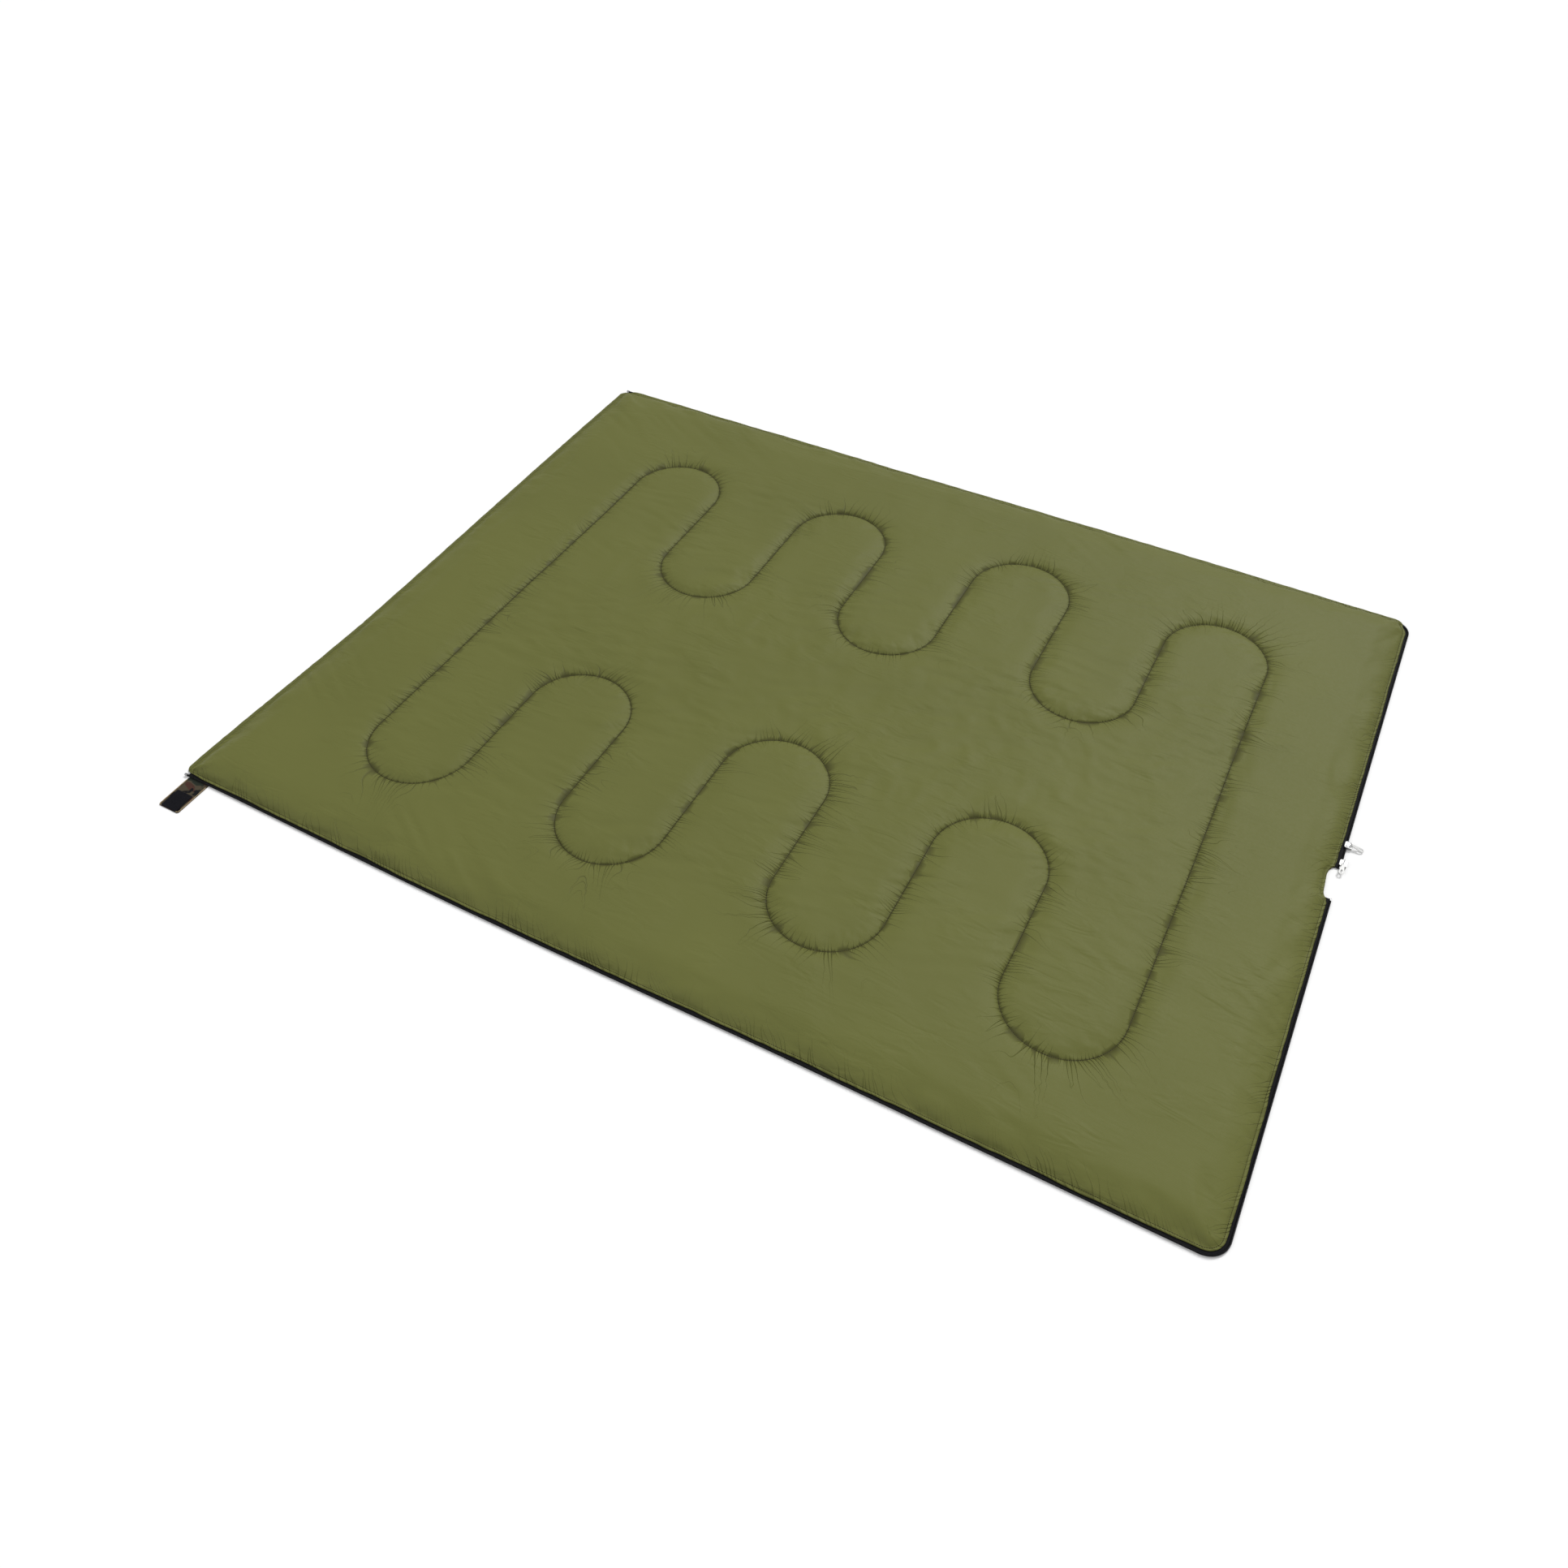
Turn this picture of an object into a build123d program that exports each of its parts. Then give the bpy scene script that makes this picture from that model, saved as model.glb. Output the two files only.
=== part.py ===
from build123d import *
import os
from math import cos, hypot, radians, sin

# Rectangular quilted sleeping bag, unzipped all round and opened flat with its lining up.
# Millimetres. +X points to the foot end, +Y to the far half, +Z up. The origin is on the
# ground, in the middle of the fold line between the two halves.

# Overall size
bag_length = 1900.0  # head edge to the outer edge of the foot zip
half_width = 740.0  # fold line to the outer edge of the side zip
loft_height = 22.0  # ground to the top of the lining
fold_gap = 0.6  # between the two halves at the fold line
fold_lift = 1.0  # fold axis above the top of the lining

# Fabric outline
foot_radius = 28.0
head_radius = 15.0
hem_width = 8.0  # folded hem along the head edge
hem_thickness = 4.2
notch_depth = 10.0  # step in the foot edge at the fold, between the two zip ends
notch_near = 48.0
notch_far = 24.0

# Layers
shell_thickness = 1.2
lining_thickness = 1.2
layer_gap = 0.2
flange_width = 11.0  # flat seam allowance along the free edges
flange_thickness = 1.4
edge_slope = 29.0  # run of the soft slope from the allowance up to full loft

# Quilting: one serpentine seam over both halves
seam_pitch = 205.0
seam_lines = 8
lobe_reach = 547.0  # outermost point of the seam on each half
trough_reach = 146.0  # innermost point of its middle loops
seam_drift = 41.0  # how far the loops wander towards the far half over the bag's length
seam_offset = -17.0  # Y of the pattern's middle
seam_slide = 7.0  # X of the pattern's middle
seam_width = 1.6
seam_height = 0.5
seam_start = 1.6  # first point of the seam, from the fold line

# Zip tapes and coils
tape_reach = 9.0  # fabric edge to the outer edge of the coil
tape_sewn = 7.0  # part of the tape held in the seam
tape_thickness = 0.8
tape_bottom = 1.8
coil_width = 3.6
coil_height = 2.1
coil_beyond = 1.2  # coil past the tape edge
coil_lift = 0.1
zip_head_stop = 14.0  # head edge to the end of the tapes
topstitch_inset = 8.5
topstitch_width = 0.8
topstitch_height = 0.4
stop_length = 6.0
stop_width = 4.6
stop_height = 3.4
pin_length = 5.3
pin_diameter = 2.2

# Sliders
slider_length = 14.5
slider_width = 13.2
slider_corner = 3.2
slider_plate = 1.2
slider_bottom = 0.2
slider_clear = 0.4  # between the coil and the walls of its channel
slider_wall = 1.1
slider_wall_length = 8.5
slider_web = 1.6
slider_web_length = 5.5
slider_edge = 0.35
lower_slider_y = 37.0
upper_slider_y = 82.0

# Pulls and the swivelling bails that hold them
bail_radius = 3.5
bail_wire = 1.2
bail_rise = 2.3  # straight legs under the half-round bail
bail_disc = 8.6
bail_disc_thickness = 0.5
pull_length = 23.0  # centre of the ring to the tip
pull_width = 9.0
pull_thickness = 1.3
pull_edge = 0.3
neck_width = 4.6
neck_start = 3.2  # centre of the ring to the neck
neck_blend = 1.0  # fillet between the ring and the neck
ring_width = 6.0
ring_hole = 3.4
grip_slot = 7.5  # oval hole near the tip
grip_slot_width = 3.2
upper_pull_tilt = 14.0  # degrees that the resting pull slopes down to the ground
lower_pull_tilt = 7.0  # the same, for the pull that lies across the end of its tape

# Closure strap at the head corner of the near half
strap_start = 18.0  # from the head edge
strap_width = 46.0
strap_reach = 72.0  # past the outer edge of the zip
strap_thickness = 1.4
strap_clear = 3.5  # zip to the strap's fold line
strap_fold = 0.3  # each side of the fold line
hook_length = 41.0
hook_width = 36.0
hook_thickness = 1.4
hook_end_gap = 0.6
loop_thickness = 0.7
loop_inset = 28.0  # fabric edge to the middle of the loop patch
loop_clear = 0.1
edging_width = 3.0
edging_height = 0.5

# Derived positions
head_x = -bag_length / 2
foot_x = bag_length / 2 - tape_reach
side_y = half_width - tape_reach
panel_x = head_x + hem_width + layer_gap
tape_top = tape_bottom + tape_thickness
coil_bottom = tape_top + coil_lift
coil_top = coil_bottom + coil_height
allowance_z = tape_top + layer_gap
flange_top = allowance_z + flange_thickness
slope = (loft_height - allowance_z) / edge_slope
channel_bottom = slider_bottom + slider_plate
channel_top = coil_top + slider_clear
slider_top = channel_top + slider_plate
slider_x = bag_length / 2 + slider_clear + slider_web / 2
wall_x = slider_x - (bag_length / 2 - coil_width - slider_clear) + slider_wall / 2
disc_top = slider_top + bail_disc_thickness
bail_z = disc_top + bail_rise
strap_x = head_x + strap_start + strap_width / 2
strap_fold_y = half_width + strap_clear

halves = ((-1, "near", notch_near), (1, "far", notch_far))


def fold_edge(side):
    """Distance of a half's inner edge from the fold line: the near half reaches it."""
    return fold_gap if side > 0 else 0.0


def box_sketch(x_range, y_range, height):
    """Sketch of a rectangle between two X and two Y values."""
    with BuildSketch(Plane.XY.offset(height)) as block:
        with Locations((sum(x_range) / 2, sum(y_range) / 2)):
            Rectangle(abs(x_range[1] - x_range[0]), abs(y_range[1] - y_range[0]))
    return block.sketch


def sheet(side, height, inset, start):
    """Sketch of one half inset from its outer and foot edges, from X = start to the foot."""
    low, high = fold_edge(side), side_y - inset
    with BuildSketch(Plane.XY.offset(height)) as profile:
        add(box_sketch((start, foot_x - inset), (side * low, side * high), 0))
        corner = profile.vertices().sort_by(Axis.X)[-2:].sort_by(Axis.Y)[-1 if side > 0 else 0]
        fillet(corner, max(foot_radius - inset, 2.0))
    return profile.sketch


def fabric(side, notch, height, x_range):
    """Sketch of one half's whole fabric outline between two X values."""
    with BuildSketch(Plane.XY.offset(height)) as profile:
        add(sheet(side, 0, 0, head_x))
        outer = profile.vertices().sort_by(Axis.X)[:2].sort_by(Axis.Y)[-1 if side > 0 else 0]
        fillet(outer, head_radius)
        add(box_sketch((foot_x - notch_depth, foot_x + 1), (0, side * notch), 0), mode=Mode.SUBTRACT)
        add(box_sketch(x_range, (-half_width, half_width), 0), mode=Mode.INTERSECT)
    return profile.sketch


def band(side, end, height, inner, outer):
    """Sketch of a strip along one half's zip: inner and outer are past the fabric edge."""
    start = head_x + zip_head_stop
    with BuildSketch(Plane.XY.offset(height)) as strip:
        add(sheet(side, 0, -outer, start))
        add(sheet(side, 0, -inner, start), mode=Mode.SUBTRACT)
        add(box_sketch((0, bag_length), (0, side * end), 0), mode=Mode.SUBTRACT)
    return strip.sketch


def inset_at(height, depth):
    """Inset of a layer's slope at a height, for a layer this deep under the lining's face."""
    return flange_width + (depth * hypot(1, slope) + height - allowance_z) / slope


def pad(side, low, high, depth):
    """Loft of one half between two heights, following the soft slope of its edges."""
    for height in (low, high):
        inset = inset_at(height, depth)
        add(sheet(side, height, inset, panel_x + inset))


def serpentine(side):
    """Centre line of one half's quilting seam, from fold to fold."""
    radius = seam_pitch / 2
    lines = [seam_slide + (index - (seam_lines - 1) / 2) * seam_pitch for index in range(seam_lines)]
    turns = []
    for index, x in enumerate(lines[:-1]):
        reach = lobe_reach - radius if index % 2 == 0 else trough_reach + radius
        shift = seam_offset + seam_drift * (x + radius) / bag_length
        turns.append((side * reach + shift, side * (radius if index % 2 == 0 else -radius)))
    fold_y = side * seam_start
    ends = [fold_y] + [turn for turn, _ in turns] + [fold_y]
    with BuildLine() as path:
        for index, x in enumerate(lines):
            Line((x, ends[index]), (x, ends[index + 1]))
        for x, (turn, bulge) in zip(lines, turns):
            ThreePointArc((x, turn), (x + radius, turn + bulge), (x + seam_pitch, turn))
    return path.line


def write_step(piece, name):
    piece.part.label = name
    export_step(piece.part, f"parts/{name}.step")


os.makedirs("parts", exist_ok=True)

# The two quilted halves: every layer is made once for each side of the fold line.
for side, name, notch in halves:
    # Outer shell that the bag lies on. The far one has a shallow pocket for the loop patch.
    with BuildPart() as outer_shell:
        add(fabric(side, notch, 0, (panel_x, foot_x)))
        extrude(amount=shell_thickness)
        if side > 0:
            with BuildSketch(Plane.XY):
                with Locations((strap_x, side_y - loop_inset)):
                    Rectangle(hook_width + 2 * loop_clear, hook_length + 2 * loop_clear)
            extrude(amount=loop_thickness + loop_clear, mode=Mode.SUBTRACT)
    write_step(outer_shell, f"outer_shell_{name}")

    # Filling that thins towards the seam allowance.
    with BuildPart() as filling:
        fill_top = loft_height - lining_thickness - layer_gap
        pad(side, shell_thickness + layer_gap, fill_top, lining_thickness + layer_gap)
        loft(ruled=True)
    write_step(filling, f"filling_{name}")

    # Lining: flat allowance all round and a soft slope up to full loft, hollow underneath.
    with BuildPart() as lining:
        add(fabric(side, notch, allowance_z, (panel_x, foot_x)))
        extrude(amount=flange_thickness)
        pad(side, allowance_z, loft_height, 0)
        loft(ruled=True)
        pad(side, allowance_z, loft_height - lining_thickness, lining_thickness)
        loft(ruled=True, mode=Mode.SUBTRACT)
    write_step(lining, f"lining_{name}")

    # Quilting seam: a raised line of thread on the lining.
    with BuildPart() as quilting:
        with BuildSketch(Plane.XY.offset(loft_height)):
            trace(serpentine(side), seam_width)
        extrude(amount=seam_height)
    write_step(quilting, f"quilting_{name}")

    # Folded hem along the head edge.
    with BuildPart() as head_hem:
        add(fabric(side, notch, 0, (head_x, head_x + hem_width)))
        extrude(amount=hem_thickness)
    write_step(head_hem, f"head_hem_{name}")

    # Zip tape, sewn in between the shell and the lining.
    with BuildPart() as zip_tape:
        add(band(side, notch, tape_bottom, -tape_sewn, tape_reach - coil_beyond))
        extrude(amount=tape_thickness)
    write_step(zip_tape, f"zip_tape_{name}")

    # Zip coil along the tape's outer edge, short of the metal pin at its end.
    with BuildPart() as zip_coil:
        coil_end = notch + pin_length + layer_gap
        add(band(side, coil_end, coil_bottom, tape_reach - coil_width, tape_reach))
        extrude(amount=coil_height)
    write_step(zip_coil, f"zip_coil_{name}")

    # Topstitching that holds the tape.
    with BuildPart() as topstitch:
        half = topstitch_width / 2
        add(band(side, notch, flange_top, -topstitch_inset - half, -topstitch_inset + half))
        extrude(amount=topstitch_height)
    write_step(topstitch, f"topstitch_{name}")

    # Metal stop on the tape's head end.
    with BuildPart() as top_stop:
        stop_x = head_x + zip_head_stop - layer_gap - stop_length / 2
        stop_z = (tape_bottom + coil_top) / 2
        with Locations((stop_x, side * (half_width - stop_width / 2), stop_z)):
            Box(stop_length, stop_width, stop_height)
        fillet(top_stop.edges().filter_by(Axis.X), 0.8)
    write_step(top_stop, f"top_stop_{name}")

    # Metal pin on the tape's end in the notch.
    with BuildPart() as end_pin:
        pin_x = bag_length / 2 - coil_beyond - pin_diameter / 2
        with BuildSketch(Plane.XZ.offset(-side * notch)):
            with Locations((pin_x, coil_bottom + pin_diameter / 2)):
                Circle(pin_diameter / 2)
        extrude(amount=-side * pin_length)
        fillet(end_pin.edges().filter_by(GeomType.CIRCLE), 0.4)
    write_step(end_pin, f"end_pin_{name}")

# Loop patch on the underside of the far half, where the closed strap reaches.
with BuildPart() as loop_patch:
    with BuildSketch(Plane.XY):
        with Locations((strap_x, side_y - loop_inset)):
            Rectangle(hook_width, hook_length)
    extrude(amount=loop_thickness)
write_step(loop_patch, "loop_patch")

# The two sliders, both on the far half's foot tape. Each pull's ring travels round its
# half-round bail: the upper bail stands across the zip, the lower one along it.
for name, slider_y, heading, tilt in (
    ("upper", upper_slider_y, Vector(1, 0, 0), radians(upper_pull_tilt)),
    ("lower", lower_slider_y, Vector(0, -1, 0), radians(lower_pull_tilt)),
):
    # Body: two plates joined by a web, with walls that keep the coil in its channel.
    with BuildPart() as slider:
        for bottom, top in ((slider_bottom, channel_bottom), (channel_top, slider_top)):
            with BuildSketch(Plane.XY.offset(bottom)):
                with Locations((slider_x, slider_y)):
                    RectangleRounded(slider_width, slider_length, slider_corner)
            extrude(amount=top - bottom)
        fillet(slider.faces().sort_by(Axis.Z)[-1].edges(), slider_edge)
        fillet(slider.faces().sort_by(Axis.Z)[0].edges(), slider_edge)
        with BuildSketch(Plane.XY.offset(channel_bottom)):
            with Locations((slider_x, slider_y + slider_length / 2 - slider_web_length / 2)):
                Rectangle(slider_web, slider_web_length)
        extrude(amount=channel_top - channel_bottom)
        with BuildSketch(Plane.XY.offset(tape_top + slider_clear)):
            with Locations((slider_x - wall_x, slider_y), (slider_x + wall_x, slider_y)):
                Rectangle(slider_wall, slider_wall_length)
        extrude(amount=channel_top - tape_top - slider_clear)
    write_step(slider, f"slider_{name}")

    # Bail: a wire loop on a swivelling disc.
    upright = Plane(origin=(slider_x, slider_y, 0), x_dir=heading, z_dir=heading.cross(Vector(0, 0, 1)))
    with BuildPart() as bail:
        with BuildLine(upright) as loop:
            Line((bail_radius, disc_top), (bail_radius, bail_z))
            ThreePointArc((bail_radius, bail_z), (0, bail_z + bail_radius), (-bail_radius, bail_z))
            Line((-bail_radius, bail_z), (-bail_radius, disc_top))
        with BuildSketch(Plane.XY.offset(disc_top)):
            with Locations(upright.origin + heading * bail_radius):
                Circle(bail_wire / 2)
        sweep()
        with BuildSketch(Plane.XY.offset(slider_top)):
            with Locations((slider_x, slider_y)):
                Circle(bail_disc / 2)
        extrude(amount=bail_disc_thickness)
    write_step(bail, f"bail_{name}")

    # Pull: a ring round the bail, a tapering neck and a rounded grip with an oval hole.
    along = heading * cos(tilt) - Vector(0, 0, 1) * sin(tilt)
    face_up = heading * sin(tilt) + Vector(0, 0, 1) * cos(tilt)
    lying = Plane(origin=(slider_x, slider_y, bail_z), x_dir=along, z_dir=face_up)
    grip = bail_radius + pull_length - pull_width / 2
    with BuildPart() as pull:
        with BuildSketch(lying.offset(-pull_thickness / 2)) as profile:
            with Locations((bail_radius + neck_start, 0)):
                Circle(neck_width / 2)
            with Locations((grip, 0)):
                Circle(pull_width / 2)
            make_hull()
            with Locations((bail_radius, 0)):
                Circle(ring_width / 2)
            joins = profile.vertices().filter_by_position(Axis.X, bail_radius, bail_radius + ring_width / 2)
            fillet(joins, neck_blend)
            with Locations((bail_radius, 0)):
                Circle(ring_hole / 2, mode=Mode.SUBTRACT)
            with Locations((grip - pull_width / 8, 0)):
                SlotOverall(grip_slot, grip_slot_width, mode=Mode.SUBTRACT)
        extrude(amount=pull_thickness)
        faces = pull.faces().sort_by(Axis(lying.origin, lying.z_dir))
        fillet(faces[0].outer_wire().edges() + faces[-1].outer_wire().edges(), pull_edge)
    write_step(pull, f"pull_{name}")

# Closure strap: a short root sewn under the zip and the free strap that folds up.
with BuildPart() as strap_root:
    root_range = (-strap_fold_y + strap_fold, -side_y - layer_gap)
    add(box_sketch((strap_x - strap_width / 2, strap_x + strap_width / 2), root_range, 0))
    extrude(amount=strap_thickness)
write_step(strap_root, "strap_root")

strap_tip = -half_width - strap_reach
with BuildPart() as closure_strap:
    strap_range = (strap_tip, -strap_fold_y - strap_fold)
    add(box_sketch((strap_x - strap_width / 2, strap_x + strap_width / 2), strap_range, 0))
    extrude(amount=strap_thickness)
    fillet(closure_strap.edges().filter_by(Axis.Z).group_by(Axis.Y)[0], 2.0)
write_step(closure_strap, "closure_strap")

# Edging along the strap's two long sides.
with BuildPart() as strap_edging:
    edge_x = strap_width / 2 - edging_width / 2
    strap_length = -strap_fold_y - strap_fold - strap_tip - 2.0
    with BuildSketch(Plane.XY.offset(strap_thickness)):
        middle_y = strap_tip + 2.0 + strap_length / 2
        with Locations((strap_x - edge_x, middle_y), (strap_x + edge_x, middle_y)):
            Rectangle(edging_width, strap_length)
    extrude(amount=edging_height)
write_step(strap_edging, "strap_edging")

# Hook patch on the strap's free end.
with BuildPart() as hook_patch:
    with BuildSketch(Plane.XY.offset(strap_thickness)):
        with Locations((strap_x, strap_tip + hook_end_gap + hook_length / 2)):
            RectangleRounded(hook_width, hook_length, 1.5)
    extrude(amount=hook_thickness)
write_step(hook_patch, "hook_patch")
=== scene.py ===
import math

import bmesh
import bpy
import numpy as np
from bpy.props import FloatProperty, FloatVectorProperty, IntProperty, PointerProperty
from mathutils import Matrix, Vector
from mathutils.geometry import delaunay_2d_cdt
from mathutils.kdtree import KDTree


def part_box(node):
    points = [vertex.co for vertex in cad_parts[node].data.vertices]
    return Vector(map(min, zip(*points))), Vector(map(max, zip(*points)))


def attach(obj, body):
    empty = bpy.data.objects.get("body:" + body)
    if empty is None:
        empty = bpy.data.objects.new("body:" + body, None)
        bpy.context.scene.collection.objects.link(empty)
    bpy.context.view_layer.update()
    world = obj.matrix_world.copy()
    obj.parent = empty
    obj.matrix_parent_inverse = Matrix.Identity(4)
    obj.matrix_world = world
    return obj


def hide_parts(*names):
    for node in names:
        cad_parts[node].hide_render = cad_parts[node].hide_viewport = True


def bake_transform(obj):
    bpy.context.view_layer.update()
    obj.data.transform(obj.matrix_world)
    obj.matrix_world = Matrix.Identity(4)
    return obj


bl_info = {
    "name": "Sleeping Bag Maker",
    "version": (1, 0, 0),
    "blender": (4, 5, 0),
    "location": "View3D > Sidebar > Sleeping Bag",
    "description": "Makes a quilted rectangular sleeping bag, unzipped and opened flat",
    "category": "Object",
}

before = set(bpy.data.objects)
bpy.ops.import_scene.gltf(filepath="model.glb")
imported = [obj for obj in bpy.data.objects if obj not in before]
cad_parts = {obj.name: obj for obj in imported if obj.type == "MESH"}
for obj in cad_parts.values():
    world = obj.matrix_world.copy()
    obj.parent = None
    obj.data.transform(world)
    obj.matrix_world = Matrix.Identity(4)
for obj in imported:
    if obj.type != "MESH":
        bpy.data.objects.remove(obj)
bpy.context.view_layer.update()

_, PANEL_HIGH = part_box("lining_far")
HEM_LOW, HEM_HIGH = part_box("head_hem_far")
COIL_LOW, COIL_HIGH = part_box("zip_coil_far")
TAPE_LOW, TAPE_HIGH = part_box("zip_tape_far")
_, NEAR_COIL_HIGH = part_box("zip_coil_near")
_, NEAR_TAPE_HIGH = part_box("zip_tape_near")
SHELL_LOW, SHELL_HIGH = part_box("outer_shell_near")
STRAP_LOW, STRAP_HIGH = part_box("closure_strap")
ROOT_LOW, ROOT_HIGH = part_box("strap_root")
HOOK_LOW, HOOK_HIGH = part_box("hook_patch")
LOOP_LOW, LOOP_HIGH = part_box("loop_patch")
HINGE_Y = (STRAP_HIGH.y + ROOT_LOW.y) / 2

CLEARANCE = 0.0001  # between pieces that lie on each other
SEAM_STEP = 0.0026  # between the points that carry the quilting seam
OUTLINE_STEP = 0.0042  # between the points of the lining's edge
SHELL_STEP = 0.0075  # between the points of the shell's edge
LINING_GRID = 0.0075  # between the lining's points in the open cloth
SHELL_GRID = 0.0135  # between the shell's points away from the fold
PATCH_GRID = 0.0035  # between the shell's points over the loop patch
EDGE_ROWS = (0.0022, 0.0046, 0.0064, 0.0088, 0.0122, 0.017, 0.0235, 0.031)
SEAM_ROWS = (0.0013, 0.0030, 0.0050, 0.0078, 0.0112)  # as dense as the seam itself
WIDE_SEAM_ROWS = (0.0155, 0.0205, 0.0265)  # with every second point left out
MOST_MOVE = 0.0045  # furthest that the simulation may move the cloth
LAST_FRAME = 18  # of the simulation
HEAD_BOW, NEAR_SWELL, FAR_SWELL = 0.013, 0.0055, 0.003  # how the bag lies


# ------------------------------------------------------------------ settings
class QuiltSettings(bpy.types.PropertyGroup):
    """Sizes of the quilted panels and their seam."""

    loft: FloatProperty(
        name="Loft", description="Height of the lining between the seams",
        default=PANEL_HIGH.z - 0.0030, unit="LENGTH",
    )
    seam_level: FloatProperty(
        name="Seam level", description="Height of the quilting seam above the ground",
        default=0.0125, unit="LENGTH",
    )
    edge_level: FloatProperty(
        name="Edge level", description="Height of the lining at its sewn edge",
        default=0.0040, unit="LENGTH",
    )
    groove: FloatProperty(
        name="Groove", description="Distance in which the lining rises from the seam",
        default=0.0080, unit="LENGTH",
    )
    shoulder: FloatProperty(
        name="Shoulder", description="Distance in which the lining rises from its edge",
        default=0.012, unit="LENGTH",
    )
    allowance: FloatProperty(
        name="Allowance", description="Flat strip between the edge and the topstitching",
        default=0.0048, unit="LENGTH",
    )
    overhang: FloatProperty(
        name="Overhang", description="How far the lining's edge lies out over the zip tape",
        default=0.0022, unit="LENGTH",
    )
    far_overhang: FloatProperty(
        name="Far overhang", description="How much further the far side lies out, over the zip",
        default=0.0080, unit="LENGTH",
    )
    pitch: FloatProperty(
        name="Seam pitch", description="Distance between the lines of the quilting seam",
        default=0.205, unit="LENGTH",
    )
    lines: IntProperty(name="Seam lines", description="Lines across the bag", default=8)
    lobe: FloatProperty(
        name="Outer loops", description="Reach of the outer loops from the fold line",
        default=0.547, unit="LENGTH",
    )
    trough: FloatProperty(
        name="Inner loops", description="Reach of the inner loops from the fold line",
        default=0.146, unit="LENGTH",
    )
    drift: FloatProperty(
        name="Drift", description="How far the loops wander over the bag's length",
        default=0.041, unit="LENGTH",
    )
    offset: FloatProperty(
        name="Offset", description="Sideways place of the pattern's middle",
        default=-0.0168, unit="LENGTH",
    )
    sway: FloatProperty(
        name="Sway", description="Slow swing of the loops from side to side",
        default=0.006, unit="LENGTH",
    )
    slide: FloatProperty(
        name="Slide", description="Place of the pattern's middle along the bag",
        default=0.0070, unit="LENGTH",
    )
    lean: FloatProperty(
        name="Lean", description="How far the first line leans in at the far side",
        default=0.008, unit="LENGTH",
    )
    wobble: FloatProperty(
        name="Wobble", description="How far the seam strays from its drawn line",
        default=0.0022, unit="LENGTH",
    )
    pucker: FloatProperty(
        name="Puckers", description="Depth of the gathers beside the seam",
        default=0.0030, unit="LENGTH",
    )
    ease: FloatProperty(
        name="Ease", description="Share by which the lining is cut larger than its panel",
        default=0.08, min=0.0, max=0.2,
    )
    rumple: FloatProperty(
        name="Rumples", description="Depth of the creases in the open cloth",
        default=0.0023, unit="LENGTH",
    )
    foot_radius: FloatProperty(
        name="Foot corners", description="Radius of the two foot corners",
        default=0.028, unit="LENGTH",
    )
    head_radius: FloatProperty(
        name="Head corners", description="Radius of the two head corners",
        default=0.015, unit="LENGTH",
    )
    seed: IntProperty(name="Seed", description="Seed of every irregularity", default=7)


class ZipSettings(bpy.types.PropertyGroup):
    """Sizes of the zip, its stitching and the quilting thread."""

    tooth_pitch: FloatProperty(
        name="Coil pitch", description="Distance between two turns of the coil",
        default=0.00175, unit="LENGTH",
    )
    stitch_pitch: FloatProperty(
        name="Stitch pitch", description="Length of one stitch with its gap",
        default=0.0034, unit="LENGTH",
    )
    stitch_length: FloatProperty(
        name="Stitch length", description="Visible length of one stitch",
        default=0.0027, unit="LENGTH",
    )
    thread: FloatProperty(
        name="Thread", description="Diameter of the sewing thread",
        default=0.0007, unit="LENGTH",
    )
    topstitch_inset: FloatProperty(
        name="Topstitch inset", description="From the panel's drawn edge to the topstitching",
        default=0.0028, unit="LENGTH",
    )


def colour_property(name, text, value):
    """A colour with its name, description and default."""
    return FloatVectorProperty(
        name=name, description=text, default=value, size=3, subtype="COLOR", min=0.0, max=1.0
    )


class FinishSettings(bpy.types.PropertyGroup):
    """Colours of the bag's cloths and metal."""

    olive: colour_property("Lining", "Colour of the plain lining", (0.120, 0.127, 0.034))
    # Painted shade: the colour that the lining is darkened towards in its seam grooves and creases
    crease_shade: colour_property("Crease", "Colour deep in the lining's creases", (0.030, 0.027, 0.010))
    hem: colour_property("Hem", "Colour of the folded hem", (0.150, 0.158, 0.045))
    thread: colour_property("Thread", "Colour of the sewing thread", (0.034, 0.029, 0.011))
    tape: colour_property("Zip", "Colour of the zip tape and coil", (0.0030, 0.0030, 0.0042))
    enamel: colour_property("Sliders", "Colour of the sliders and pulls", (0.56, 0.56, 0.55))
    edging: colour_property("Edging", "Colour of the strap's edging", (0.36, 0.27, 0.15))
    patch: colour_property("Patches", "Colour of the hook and loop", (0.0042, 0.0042, 0.0075))
    camo_ground: colour_property("Shell ground", "Lightest shell colour", (0.060, 0.047, 0.027))
    camo_brown: colour_property("Shell brown", "Brown shell colour", (0.055, 0.021, 0.013))
    camo_green: colour_property("Shell green", "Green shell colour", (0.016, 0.021, 0.014))
    camo_black: colour_property("Shell black", "Darkest shell colour", (0.004, 0.004, 0.005))


class StageSettings(bpy.types.PropertyGroup):
    """Camera, lights and floor."""

    camera_place: FloatVectorProperty(
        name="Camera", description="Where the camera stands", size=3, subtype="TRANSLATION",
        default=(0.7169, -1.5827, 1.6729),
    )
    camera_turn: FloatVectorProperty(
        name="Camera turn", description="The camera's rotation", size=3, subtype="EULER",
        default=(math.radians(41.987), math.radians(-0.305), math.radians(27.823)),
    )
    lens: FloatProperty(name="Lens", description="Focal length in millimetres", default=28.65)
    sky: FloatProperty(name="Sky", description="Strength of the light all round", default=0.42)
    key: FloatProperty(
        name="Key", description="Strength of the soft key light from behind the bag", default=2.3
    )
    fill: FloatProperty(
        name="Fill", description="Strength of the fill light from the camera's side", default=0.9
    )


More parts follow.
